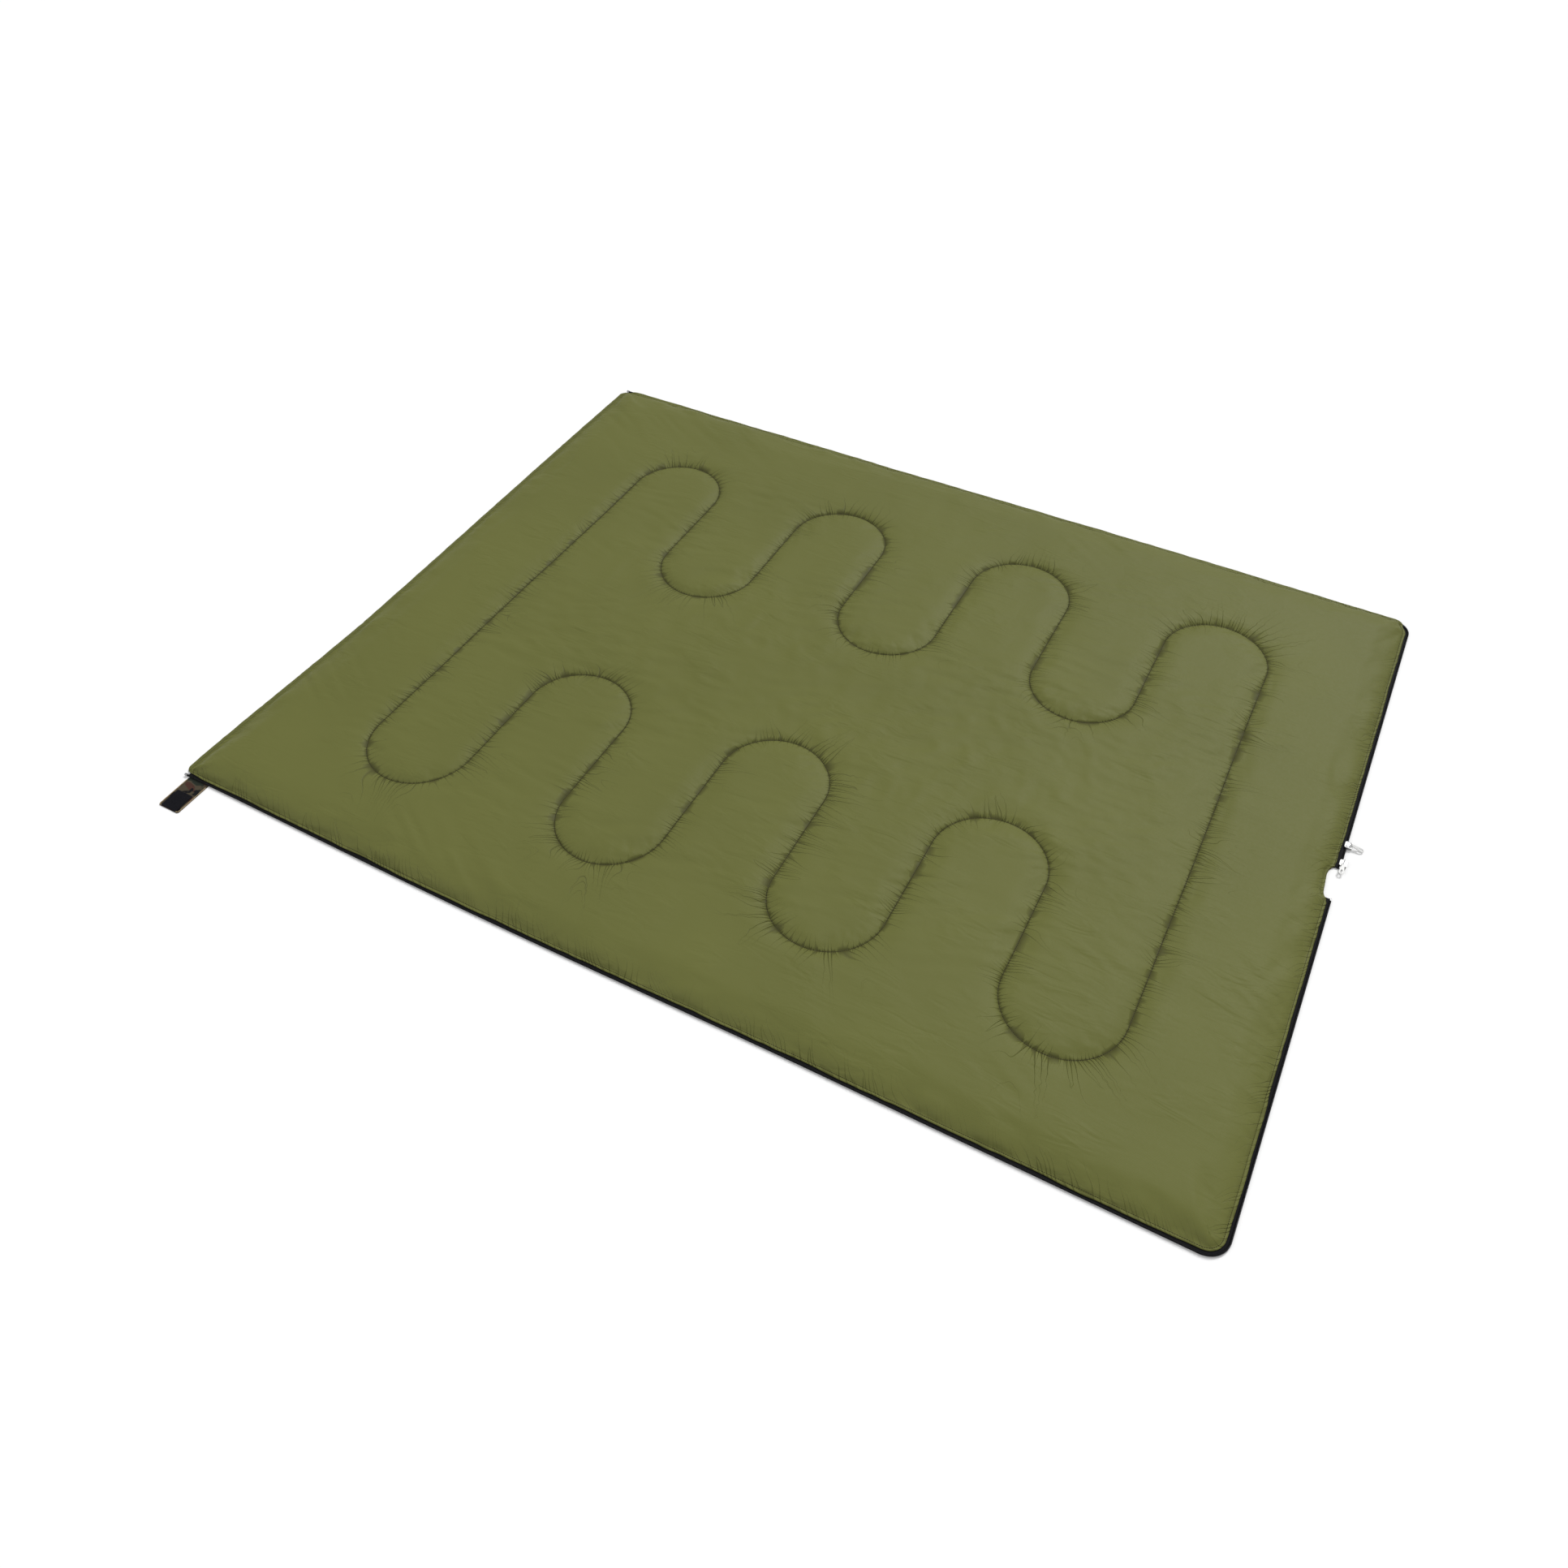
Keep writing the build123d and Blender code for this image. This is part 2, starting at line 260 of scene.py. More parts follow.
# ------------------------------------------------------------------ cloth shapes
def value_noise(x, y, seed):
    """Smooth noise from -1 to 1 on a plane, one cell to a unit."""
    x, y = np.asarray(x, float), np.asarray(y, float)
    x0, y0 = np.floor(x), np.floor(y)
    fx, fy = x - x0, y - y0
    fx, fy = fx * fx * (3 - 2 * fx), fy * fy * (3 - 2 * fy)

    def corner(i, j):
        mix = np.sin((x0 + i) * 127.1 + (y0 + j) * 311.7 + seed * 74.7) * 43758.5453
        return 2 * (mix - np.floor(mix)) - 1

    low = corner(0, 0) * (1 - fx) + corner(1, 0) * fx
    high = corner(0, 1) * (1 - fx) + corner(1, 1) * fx
    return low * (1 - fy) + high * fy


def smooth_step(low, high, value):
    """0 below low, 1 above high, and an even passage between them."""
    t = np.clip((value - low) / (high - low), 0, 1)
    return t * t * (3 - 2 * t)


def half_chord(radius, off):
    """Half the chord of a circle at a distance from its middle."""
    return math.sqrt(max(radius**2 - off**2, 0))


def even_points(path, step, closed=False):
    """The same path as evenly spaced points, and the distance along it of each."""
    path = np.asarray(path, float)
    if closed:
        path = np.vstack([path, path[:1]])
    run = np.concatenate([[0], np.cumsum(np.linalg.norm(np.diff(path, axis=0), axis=1))])
    count = max(2, int(round(run[-1] / step)))
    at = np.linspace(0, run[-1], count + (0 if closed else 1), endpoint=not closed)
    return np.stack([np.interp(at, run, path[:, k]) for k in range(path.shape[1])], 1), at


def path_normals(points, closed=False):
    """Unit vector to the left of a flat path at each of its points."""
    if closed:
        ahead = np.roll(points, -1, 0) - np.roll(points, 1, 0)
    else:
        ahead = np.gradient(points, axis=0)
    left = np.stack([-ahead[:, 1], ahead[:, 0]], 1)
    return left / np.linalg.norm(left, axis=1)[:, None]


def seam_loop(quilt, step):
    """The closed quilting seam as points, the distance along it, and its left normals."""
    radius = quilt.pitch / 2
    middle_line = (quilt.lines - 1) / 2
    columns = [(index - middle_line) * quilt.pitch for index in range(quilt.lines)]
    swing = np.linspace(0, math.pi, 60)
    chains = []
    for side in (-1, 1):
        chain = [(columns[0], 0.0)]
        for index, x in enumerate(columns[:-1]):
            outer = index % 2 == 0
            middle = x + radius
            shift = quilt.offset + quilt.drift * middle / (PANEL_HIGH.x - HEM_LOW.x)
            shift += quilt.sway * math.cos(2 * math.pi * (middle - 0.15) / 1.1)
            turn = side * (quilt.lobe - radius if outer else quilt.trough + radius) + shift
            bulge = side * (radius if outer else -radius)
            chain += zip(x + radius - radius * np.cos(swing), turn + bulge * np.sin(swing))
        chain.append((columns[-1], 0.0))
        chains.append(chain)
    loop, run = even_points(chains[0] + chains[1][-2:0:-1], step, closed=True)
    left = path_normals(loop, closed=True)
    turns = run / (run[-1] + step) * 2 * math.pi
    stray = sum(
        math.cos(quilt.seed * k) * np.sin(k * turns + 2.3 * k) / math.sqrt(k)
        for k in (3, 5, 8, 13, 17, 29, 43)
    )
    loop = loop + left * (quilt.wobble * stray / 2)[:, None]
    first = smooth_step(-0.45, -0.70, loop[:, 0]) * smooth_step(-0.1, 0.3, loop[:, 1])
    loop[:, 0] += quilt.slide + quilt.lean * first
    return loop, run, path_normals(loop, closed=True)


def panel_outline(quilt, start_x, step, overhang=0.0):
    """A panel's outline as closed, evenly spaced points: two rounded foot corners and the
    step at the fold between the two ends of the zip. It overhangs the zip unevenly, and how
    far it does is returned for each point."""
    foot, side = PANEL_HIGH.x, PANEL_HIGH.y
    notch = foot - 0.010
    near, far = NEAR_TAPE_HIGH.y, TAPE_LOW.y
    radius = quilt.foot_radius
    quarter = np.linspace(0, math.pi / 2, 12)
    head_arc = []
    for x in np.linspace(start_x, HEM_LOW.x + quilt.head_radius, 5):
        drop = quilt.head_radius - (x - HEM_LOW.x)
        head_arc.append((x, side - quilt.head_radius + half_chord(quilt.head_radius, drop)))
    near_corner = [
        (foot - radius + radius * math.sin(a), -side + radius - radius * math.cos(a))
        for a in quarter
    ]
    far_corner = [
        (foot - radius + radius * math.cos(a), side - radius + radius * math.sin(a))
        for a in quarter
    ]
    notch_depth, notch_rise = 0.009, 0.024
    round_in = [
        (notch + notch_depth * (1 - math.cos(a)), far - notch_rise + notch_rise * math.sin(a))
        for a in quarter
    ]
    outline = [(x, -y) for x, y in head_arc]
    outline += near_corner
    outline += [(foot, near - 0.004), (foot - 0.004, near), (notch + 0.003, near + 0.007)]
    outline += round_in + [(foot - 0.002, far), (foot, far + 0.003)]
    outline += far_corner
    outline += head_arc[::-1]
    points, run = even_points(outline, step, closed=True)
    out = np.zeros(len(points))
    if overhang:
        uneven = 0.75 + 0.45 * value_noise(run / 0.07, 0, 71)
        uneven += 0.25 * value_noise(run / 0.018, 0, 72)
        free = smooth_step(HEM_HIGH.x + 0.004, HEM_HIGH.x + 0.05, points[:, 0])
        notched = (points[:, 0] > notch - 0.02) & (points[:, 1] > near - 0.012) & (
            points[:, 1] < far + 0.012
        )
        free = np.where(notched, 0, free)
        drawn_in = smooth_step(far + 0.09, far + 0.03, points[:, 1])
        drawn_in *= (points[:, 0] > foot - 0.003) & (points[:, 1] > far + 0.004)
        free = free - 2.2 * drawn_in
        far_side = smooth_step(side - 0.012, side, points[:, 1])
        far_side *= smooth_step(HEM_HIGH.x + 0.003, HEM_HIGH.x + 0.03, points[:, 0])
        out = overhang * uneven * free + quilt.far_overhang * far_side
        points = points - path_normals(points, closed=True) * out[:, None]
    return points, out


def lie(points):
    """How the bag lies: its head edge bows inwards and its sides outwards a little."""
    moved = np.array(points, float)
    x, y = moved[:, 0].copy(), moved[:, 1].copy()
    half, side = PANEL_HIGH.x, PANEL_HIGH.y
    deepest = 0.27
    bow = np.where(
        y < -deepest, (y + side) / (side - deepest), (side - y) / (side + deepest)
    )
    moved[:, 0] += HEAD_BOW * smooth_step(0, 1.15, bow) * smooth_step(-0.55, -half, x)
    swell = np.clip(1 - ((x + 0.3) / 0.62) ** 2, 0, 1)
    moved[:, 1] -= NEAR_SWELL * swell**2 * smooth_step(-0.45, -side, y)
    swell = np.clip(1 - ((x - 0.3) / 0.6) ** 2, 0, 1)
    moved[:, 1] += FAR_SWELL * swell**2 * smooth_step(0.45, side, y)
    return moved


def nearest_on(path, points):
    """Distance from each point to a path's points, and the index of the nearest one."""
    tree = KDTree(len(path))
    for index, (x, y) in enumerate(path):
        tree.insert((x, y, 0.0), index)
    tree.balance()
    found = [tree.find((x, y, 0.0)) for x, y in points]
    return np.array([f[2] for f in found]), np.array([f[1] for f in found])


def inset_row(outline, inward, inset, least=0.0):
    """The outline moved inwards, less the points that would crowd a corner and those that
    would move less than the least."""
    row = outline + inward * np.asarray(inset)[..., None]
    gap, _ = nearest_on(outline, row)
    return row[(inset > least) & (gap > inset * 0.93)]


def triangulate(points, outline_count):
    """Triangles between points inside the outline, which is the first points in order."""
    _, _, faces, originals, _, _ = delaunay_2d_cdt(
        [Vector(p) for p in points], [], [list(range(outline_count))], 1, 1e-7
    )
    index = [o[0] if o else 0 for o in originals]
    tris = []
    for face in faces:
        a, b, c = (index[v] for v in face)
        pa, pb, pc = points[a], points[b], points[c]
        turn = (pb[0] - pa[0]) * (pc[1] - pa[1]) - (pb[1] - pa[1]) * (pc[0] - pa[0])
        if abs(turn) > 1e-12:
            tris.append((a, b, c) if turn > 0 else (a, c, b))
    return tris


def flipped(tris):
    """The same triangles seen from the other side."""
    return [(a, c, b) for a, b, c in tris]


def closed_skins(top, top_tris, bottom, bottom_tris, count):
    """Points and faces of two skins whose first points are one outline, walled between."""
    total = len(top)
    faces = list(top_tris) + [tuple(total + v for v in tri) for tri in bottom_tris]
    for index in range(count):
        after = (index + 1) % count
        faces.append((index, total + index, total + after, after))
    return np.vstack([top, bottom]), faces


def new_piece(name, verts, faces):
    """A smooth mesh object from points and faces, linked to the scene."""
    mesh = bpy.data.meshes.new(name)
    mesh.from_pydata([tuple(v) for v in verts], [], faces)
    mesh.update()
    mesh.shade_smooth()
    piece = bpy.data.objects.new(name, mesh)
    bpy.context.scene.collection.objects.link(piece)
    return piece


def set_attribute(mesh, name, values):
    """One number for each point of a mesh, which its material reads."""
    layer = mesh.attributes.new(name, "FLOAT", "POINT")
    layer.data.foreach_set("value", np.asarray(values, np.float32))


def coordinates(mesh):
    """The mesh's points as an array."""
    found = np.empty(len(mesh.vertices) * 3, np.float32)
    mesh.vertices.foreach_get("co", found)
    return found.reshape(-1, 3).astype(float)


def put_coordinates(mesh, points):
    """Moves the mesh's points."""
    mesh.vertices.foreach_set("co", np.asarray(points, np.float32).ravel())
    mesh.update()


def lining_height(quilt, seam_gap, edge_gap, seam_run, edge_run):
    """Height of the lining from its distances to the seam and to its own edge."""
    soft = 1 + 0.35 * value_noise(edge_run / 0.05, 0, quilt.seed + 1)
    from_edge = 1 - np.exp(-np.clip(edge_gap - quilt.allowance, 0, None) / (quilt.shoulder * soft))
    height = quilt.edge_level + (quilt.loft - quilt.edge_level) * from_edge
    soft = 1 + 0.3 * value_noise(seam_run / 0.04, 3.7, quilt.seed + 2)
    from_seam = 1 - np.exp(-seam_gap / (quilt.groove * soft))
    return quilt.seam_level + (height - quilt.seam_level) * from_seam


def pull_of_seam(run, left, at, side):
    """How strongly the seam gathers the cloth beside it: most outside its turns and on the foot
    side of its lines, and unevenly along it."""
    ahead = np.roll(left, -8, 0)
    behind = np.roll(left, 8, 0)
    bend = np.sum((ahead - behind) * np.stack([left[:, 1], -left[:, 0]], 1), 1)
    bend = np.clip(bend / 0.30, -1, 1)[at] * side
    footward = left[at, 0] * side
    pull = 0.85 + 0.28 * footward
    pull = pull + np.where(bend > 0, 0.55 * bend, 0.45 * bend)
    pull *= 0.75 + 0.55 * value_noise(run[at] / 0.055, side * 3.0, 81)
    pull *= 1 + 0.35 * value_noise(run[at] / 0.014, side * 6.0, 82)
    return np.clip(pull, 0.12, 2.0)


def gathers(run, gap, side, seed):
    """Short folds that run away from a seam: depth at a distance along it and from it."""
    lean = 0.55 * value_noise(run / 0.09, side * 5.0, seed)
    at = run + lean * gap
    folds = value_noise(at / 0.0062, side * 9.0 + gap / 0.05, seed + 1)
    broad = value_noise(at / 0.017, side * 4.0 + gap / 0.09, seed + 2)
    strength = 0.35 + 0.65 * smooth_step(-0.5, 0.7, value_noise(run / 0.05, side * 2.0, seed + 3))
    reach = 0.011 + 0.009 * smooth_step(-0.3, 0.8, value_noise(run / 0.03, side * 7.0, seed + 4))
    fine = folds * np.exp(-gap / (0.55 * reach)) * smooth_step(0, 0.004, gap)
    wide = broad * np.exp(-gap / (1.6 * reach)) * smooth_step(0, 0.009, gap)
    return strength * (0.55 * fine + 0.75 * wide)


def rumples(x, y, quilt):
    """Faint creases of the open cloth: across the seam lines, and dappled in the middle."""
    slant = math.radians(13) + 0.12 * value_noise(x / 0.25, y / 0.25, 10)
    u = x * np.cos(slant) + y * np.sin(slant)
    v = y * np.cos(slant) - x * np.sin(slant)
    across = 1 - 2.2 * np.abs(value_noise(u / 0.085, v / 0.0125, 11))
    across = np.clip(across, -0.6, 1) * smooth_step(-0.5, 0.6, value_noise(x / 0.13, y / 0.07, 12))
    band = smooth_step(0.08, 0.20, np.abs(y)) * (1 - smooth_step(0.52, 0.62, np.abs(y)))
    band *= 1 - smooth_step(0.72, 0.82, np.abs(x))
    turn = 0.22 + 0.30 * value_noise(x / 0.30, y / 0.30, 13)
    p = x * np.cos(turn) + y * np.sin(turn)
    q = y * np.cos(turn) - x * np.sin(turn)
    ridge = 1 - 2.4 * np.abs(value_noise(p / 0.058, q / 0.026, 14))
    ridge = np.clip(ridge, -0.4, 1)
    second = np.clip(1 - 2.6 * np.abs(value_noise(q / 0.05 + 7, p / 0.021, 19)), 0, 1)
    dapple = value_noise(p / 0.036, q / 0.024, 15)
    middle = (1 - smooth_step(0.16, 0.28, np.abs(y))) * (1 - smooth_step(0.60, 0.74, np.abs(x)))
    slow = value_noise(x / 0.14, y / 0.12, 16)
    rim = smooth_step(0.56, 0.66, np.abs(y)) + smooth_step(0.74, 0.82, np.abs(x))
    long_folds = value_noise((x + 1.6 * y) / 0.020, (y - 0.5 * x) / 0.13, 17)
    long_folds *= smooth_step(0.1, 0.8, value_noise(x / 0.15, y / 0.15, 18))
    return quilt.rumple * (
        0.55 * across * band
        + (0.50 * ridge + 0.20 * second + 0.30 * dapple) * middle
        + 0.40 * slow
        + 0.60 * long_folds * np.clip(rim, 0, 1)
    )


def relax(piece, sewn, ease, weights, cap):
    """Cloth simulation of the lining: it is cut a little larger near its seams than the panel,
    so it buckles into gathers there. The result is applied, with each move held to the cap
    and each rise to a third of it."""
    rest = coordinates(piece.data)
    pins = piece.vertex_groups.new(name="sewn")
    pins.add(np.nonzero(sewn)[0].tolist(), 1.0, "REPLACE")
    cut = piece.vertex_groups.new(name="ease")
    levels = np.round(weights, 1)
    for value in np.unique(levels):
        cut.add(np.nonzero(levels == value)[0].tolist(), float(value), "REPLACE")
    modifier = piece.modifiers.new("Cloth", "CLOTH")
    cloth = modifier.settings
    cloth.quality = 4
    cloth.mass = 0.15
    cloth.tension_stiffness = cloth.compression_stiffness = 12
    cloth.shear_stiffness = 4
    cloth.bending_stiffness = 0.005
    cloth.tension_damping = cloth.compression_damping = cloth.shear_damping = 6
    cloth.bending_damping = 0.6
    cloth.air_damping = 2
    cloth.vertex_group_mass = pins.name
    cloth.pin_stiffness = 1.0
    cloth.vertex_group_shrink = cut.name
    cloth.shrink_min = 0.0
    cloth.shrink_max = -ease
    cloth.use_pressure = True
    cloth.uniform_pressure_force = 0.8
    cloth.effector_weights.gravity = 0.0
    modifier.collision_settings.use_collision = False
    modifier.collision_settings.use_self_collision = False
    modifier.point_cache.frame_start = 1
    modifier.point_cache.frame_end = LAST_FRAME + 2
    scene = bpy.context.scene
    for frame_number in range(1, LAST_FRAME + 1):
        scene.frame_set(frame_number)
    view = piece.evaluated_get(bpy.context.evaluated_depsgraph_get())
    moved = coordinates(view.data)
    scene.frame_set(1)
    piece.modifiers.remove(modifier)
    piece.vertex_groups.clear()
    step = moved - rest
    size = np.linalg.norm(step, axis=1)
    step *= (np.tanh(size / cap) * cap / np.maximum(size, 1e-9))[:, None]
    rise = np.maximum(step[:, 2], 0)
    step[:, 2] += cap / 3 * np.tanh(3 * rise / cap) - rise
    put_coordinates(piece.data, rest + step)


def zip_edge(quilt, side, inset, step):
    """Points along one half's zip edge, a distance inside the lining's edge, running from the
    head to the fold, and the outward unit vector at each."""
    foot, half = PANEL_HIGH.x - inset, PANEL_HIGH.y - inset
    radius = quilt.foot_radius - inset
    end_y = -NEAR_TAPE_HIGH.y if side < 0 else TAPE_LOW.y
    quarter = np.linspace(0, math.pi / 2, 16)
    path = [(TAPE_LOW.x, side * half)]
    path += [
        (foot - radius + radius * math.sin(a), side * (half - radius + radius * math.cos(a)))
        for a in quarter
    ]
    path.append((foot, side * end_y))
    points, _ = even_points(path, step)
    return points, side * path_normals(points)


def sweep(name, path, outward, section):
    """A closed body along a path; section lists (outward distance, height) points around it,
    or one such list for each point of the path."""
    section = np.broadcast_to(np.asarray(section, float), (len(path), *np.shape(section)[-2:]))
    count, around = section.shape[:2]
    flat = path[:, None, :2] + outward[:, None, :] * section[:, :, :1]
    lift = path[:, 2:3] if path.shape[1] == 3 else np.zeros((count, 1))
    points = np.concatenate([flat, (section[:, :, 1] + lift)[:, :, None]], 2).reshape(-1, 3)
    faces = [
        (row * around + k, row * around + (k + 1) % around,
         (row + 1) * around + (k + 1) % around, (row + 1) * around + k)
        for row in range(count - 1) for k in range(around)
    ]
    faces.append(tuple(range(around)))
    faces.append(tuple(range((count - 1) * around, count * around)))
    piece = new_piece(name, points, faces)
    face_outwards(piece.data)
    return piece


def face_outwards(mesh):
    """Turns the faces of a closed mesh to point outwards."""
    shape = bmesh.new()
    shape.from_mesh(mesh)
    bmesh.ops.recalc_face_normals(shape, faces=shape.faces)
    shape.to_mesh(mesh)
    shape.free()


def rounded_section(low, high, bottom, top, corner, steps=3):
    """A rectangle with rounded corners, as points in order."""
    corner = min(corner, (high - low) / 2.01, (top - bottom) / 2.01)
    points = []
    for x, z, start in ((high, top, 0), (low, top, 1), (low, bottom, 2), (high, bottom, 3)):
        middle = (x - corner if x == high else x + corner, z - corner if z == top else z + corner)
        for a in np.linspace(start * math.pi / 2, (start + 1) * math.pi / 2, steps):
            points.append((middle[0] + corner * math.cos(a), middle[1] + corner * math.sin(a)))
    return points


def pad(name, low, high, corner, edge, pitch, swell=0.0, seed=1):
    """A small flat piece of tape: a rounded rectangle in plan with a soft edge."""
    middle = [((low[k] + high[k]) / 2) for k in (0, 1)]
    half = [((high[k] - low[k]) / 2) for k in (0, 1)]
    arcs = []
    for turn, (sx, sy) in enumerate(((1, 1), (-1, 1), (-1, -1), (1, -1))):
        for a in np.linspace(turn * math.pi / 2, (turn + 1) * math.pi / 2, 6):
            arcs.append((
                middle[0] + sx * (half[0] - corner) + corner * math.cos(a),
                middle[1] + sy * (half[1] - corner) + corner * math.sin(a),
            ))
    outline, _ = even_points(arcs, pitch, closed=True)
    inward = path_normals(outline, closed=True)
    rows = [outline, outline + inward * edge * 0.35, outline + inward * edge]
    grid = np.array([
        (x, y)
        for x in np.arange(low[0], high[0], pitch)
        for y in np.arange(low[1], high[1], pitch)
    ])
    gap, _ = nearest_on(outline, grid)
    off = np.abs(grid - np.asarray(middle)[:2])
    inside = (off[:, 0] < half[0]) & (off[:, 1] < half[1])
    rows.append(grid[inside & (gap > edge + pitch * 0.5)])
    flat = np.vstack(rows)
    count = len(outline)
    tris = triangulate(flat, count)
    gap, _ = nearest_on(outline, flat)
    rim = np.sqrt(np.clip(1 - (1 - np.clip(gap / edge, 0, 1)) ** 2, 0, 1))
    thick = high[2] - low[2]
    wave = swell * (value_noise(flat[:, 0] / 0.009, flat[:, 1] / 0.009, seed) * 0.5 - 0.5)
    top = low[2] + thick * (0.35 + 0.65 * rim) + wave * rim
    bottom = low[2] + thick * 0.30 * (1 - rim)
    points, faces = closed_skins(
        np.column_stack([flat, top]), tris, np.column_stack([flat, bottom]), flipped(tris), count
    )
    piece = new_piece(name, points, faces)
    face_outwards(piece.data)
    return piece


def dropped_onto(piece, flat, lift):
    """Flat points laid on top of a piece, raised by lift."""
    resting = []
    for x, y in flat:
        hit, place, _, _ = piece.ray_cast((x, y, 0.1), (0, 0, -1))
        resting.append((x, y, (place.z if hit else 0.0) + lift))
    resting = np.array(resting)
    smooth = resting[:, 2].copy()
    smooth[1:-1] = (resting[:-2, 2] + resting[1:-1, 2] + resting[2:, 2]) / 3
    resting[:, 2] = smooth
    return resting


def tube_ring(width, height, wire, around=8, sides=4):
    """One turn of the zip coil: a flattened ring of round wire, standing across the X axis."""
    points, faces = [], []
    for i in range(around):
        a = 2 * math.pi * i / around
        middle = Vector(
            (0.25 * wire * math.sin(a), width / 2 * math.cos(a), height / 2 * math.sin(a))
        )
        out = Vector((0, height * math.cos(a), width * math.sin(a))).normalized()
        for k in range(sides):
            b = 2 * math.pi * (k + 0.5) / sides
            points.append(middle + wire * (out * math.cos(b) + Vector((1, 0, 0)) * math.sin(b)))
    for i in range(around):
        for k in range(sides):
            j, m = (i + 1) % around, (k + 1) % sides
            faces.append((i * sides + k, i * sides + m, j * sides + m, j * sides + k))
    piece = new_piece("coil_turn", points, faces)
    face_outwards(piece.data)
    return piece


def stitch_shape(length, thread):
    """One sewing stitch: a short arched thread whose ends dip into the cloth."""
    rings = (
        (-0.5, 0.25, -0.9), (-0.36, 0.9, -0.15), (0.0, 1.0, 0.1), (0.36, 0.9, -0.15),
        (0.5, 0.25, -0.9),
    )
    points, faces = [], []
    sides = 5
    for along, size, dip in rings:
        for k in range(sides):
            b = 2 * math.pi * k / sides
            r = thread / 2 * size
            height = dip * thread / 2 + r * math.sin(b)
            points.append((along * length, r * math.cos(b) * 1.3, height))
    for i in range(len(rings) - 1):
        for k in range(sides):
            m = (k + 1) % sides
            faces.append((i * sides + k, i * sides + m, (i + 1) * sides + m, (i + 1) * sides + k))
    faces.append(tuple(range(sides)))
    faces.append(tuple(range((len(rings) - 1) * sides, len(rings) * sides)))
    piece = new_piece("stitch", points, faces)
    face_outwards(piece.data)
    return piece


def repeater():
    """Geometry Nodes: one shape repeated along a path at an even pitch, each turned a little."""
    if "repeat_along_path" in bpy.data.node_groups:
        return bpy.data.node_groups["repeat_along_path"]
    group = bpy.data.node_groups.new("repeat_along_path", "GeometryNodeTree")
    face = group.interface
    face.new_socket(name="Path", in_out="INPUT", socket_type="NodeSocketGeometry")
    face.new_socket(name="Shape", in_out="INPUT", socket_type="NodeSocketObject")
    face.new_socket(name="Pitch", in_out="INPUT", socket_type="NodeSocketFloat")
    face.new_socket(name="Turn", in_out="INPUT", socket_type="NodeSocketFloat")
    face.new_socket(name="Size spread", in_out="INPUT", socket_type="NodeSocketFloat")
    face.new_socket(name="Seed", in_out="INPUT", socket_type="NodeSocketInt")
    face.new_socket(name="Material", in_out="INPUT", socket_type="NodeSocketMaterial")
    face.new_socket(name="Pieces", in_out="OUTPUT", socket_type="NodeSocketGeometry")

    def add(kind, links=None, values=None, **settings):
        node = group.nodes.new(kind)
        for key, value in settings.items():
            setattr(node, key, value)
        for key, value in (values or {}).items():
            node.inputs[key].default_value = value
        for key, value in (links or {}).items():
            group.links.new(value, node.inputs[key])
        return node

    given = add("NodeGroupInput").outputs
    curve = add("GeometryNodeMeshToCurve", {"Mesh": given["Path"]})
    even = add(
        "GeometryNodeResampleCurve", {"Curve": curve.outputs["Curve"], "Length": given["Pitch"]},
        mode="LENGTH",
    )
    tangent = add("GeometryNodeInputTangent")
    aligned = add(
        "FunctionNodeAlignRotationToVector", {"Vector": tangent.outputs["Tangent"]}, axis="X",
        pivot_axis="Z",
    )
    less = add("ShaderNodeMath", {0: given["Turn"]}, {1: -1.0}, operation="MULTIPLY")
    swing = add(
        "FunctionNodeRandomValue",
        {2: less.outputs[0], 3: given["Turn"], "Seed": given["Seed"]}, data_type="FLOAT",
    )
    euler = add("ShaderNodeCombineXYZ", {"Z": swing.outputs[1]})
    turned = add(
        "FunctionNodeRotateRotation",
        {"Rotation": aligned.outputs[0], "Rotate By": euler.outputs[0]}, rotation_space="LOCAL",
    )
    small = add("ShaderNodeMath", {1: given["Size spread"]}, {0: 1.0}, operation="SUBTRACT")
    large = add("ShaderNodeMath", {1: given["Size spread"]}, {0: 1.0}, operation="ADD")
    size = add(
        "FunctionNodeRandomValue",
        {2: small.outputs[0], 3: large.outputs[0], "Seed": given["Seed"]}, data_type="FLOAT",
    )
    shape = add("GeometryNodeObjectInfo", {"Object": given["Shape"]})
    placed = add(
        "GeometryNodeInstanceOnPoints",
        {
            "Points": even.outputs["Curve"], "Instance": shape.outputs["Geometry"],
            "Rotation": turned.outputs[0], "Scale": size.outputs[1],
        },
    )
    real = add("GeometryNodeRealizeInstances", {"Geometry": placed.outputs[0]})
    coloured = add(
        "GeometryNodeSetMaterial", {"Geometry": real.outputs[0], "Material": given["Material"]}
    )
    add("NodeGroupOutput", {0: coloured.outputs[0]})
    return group


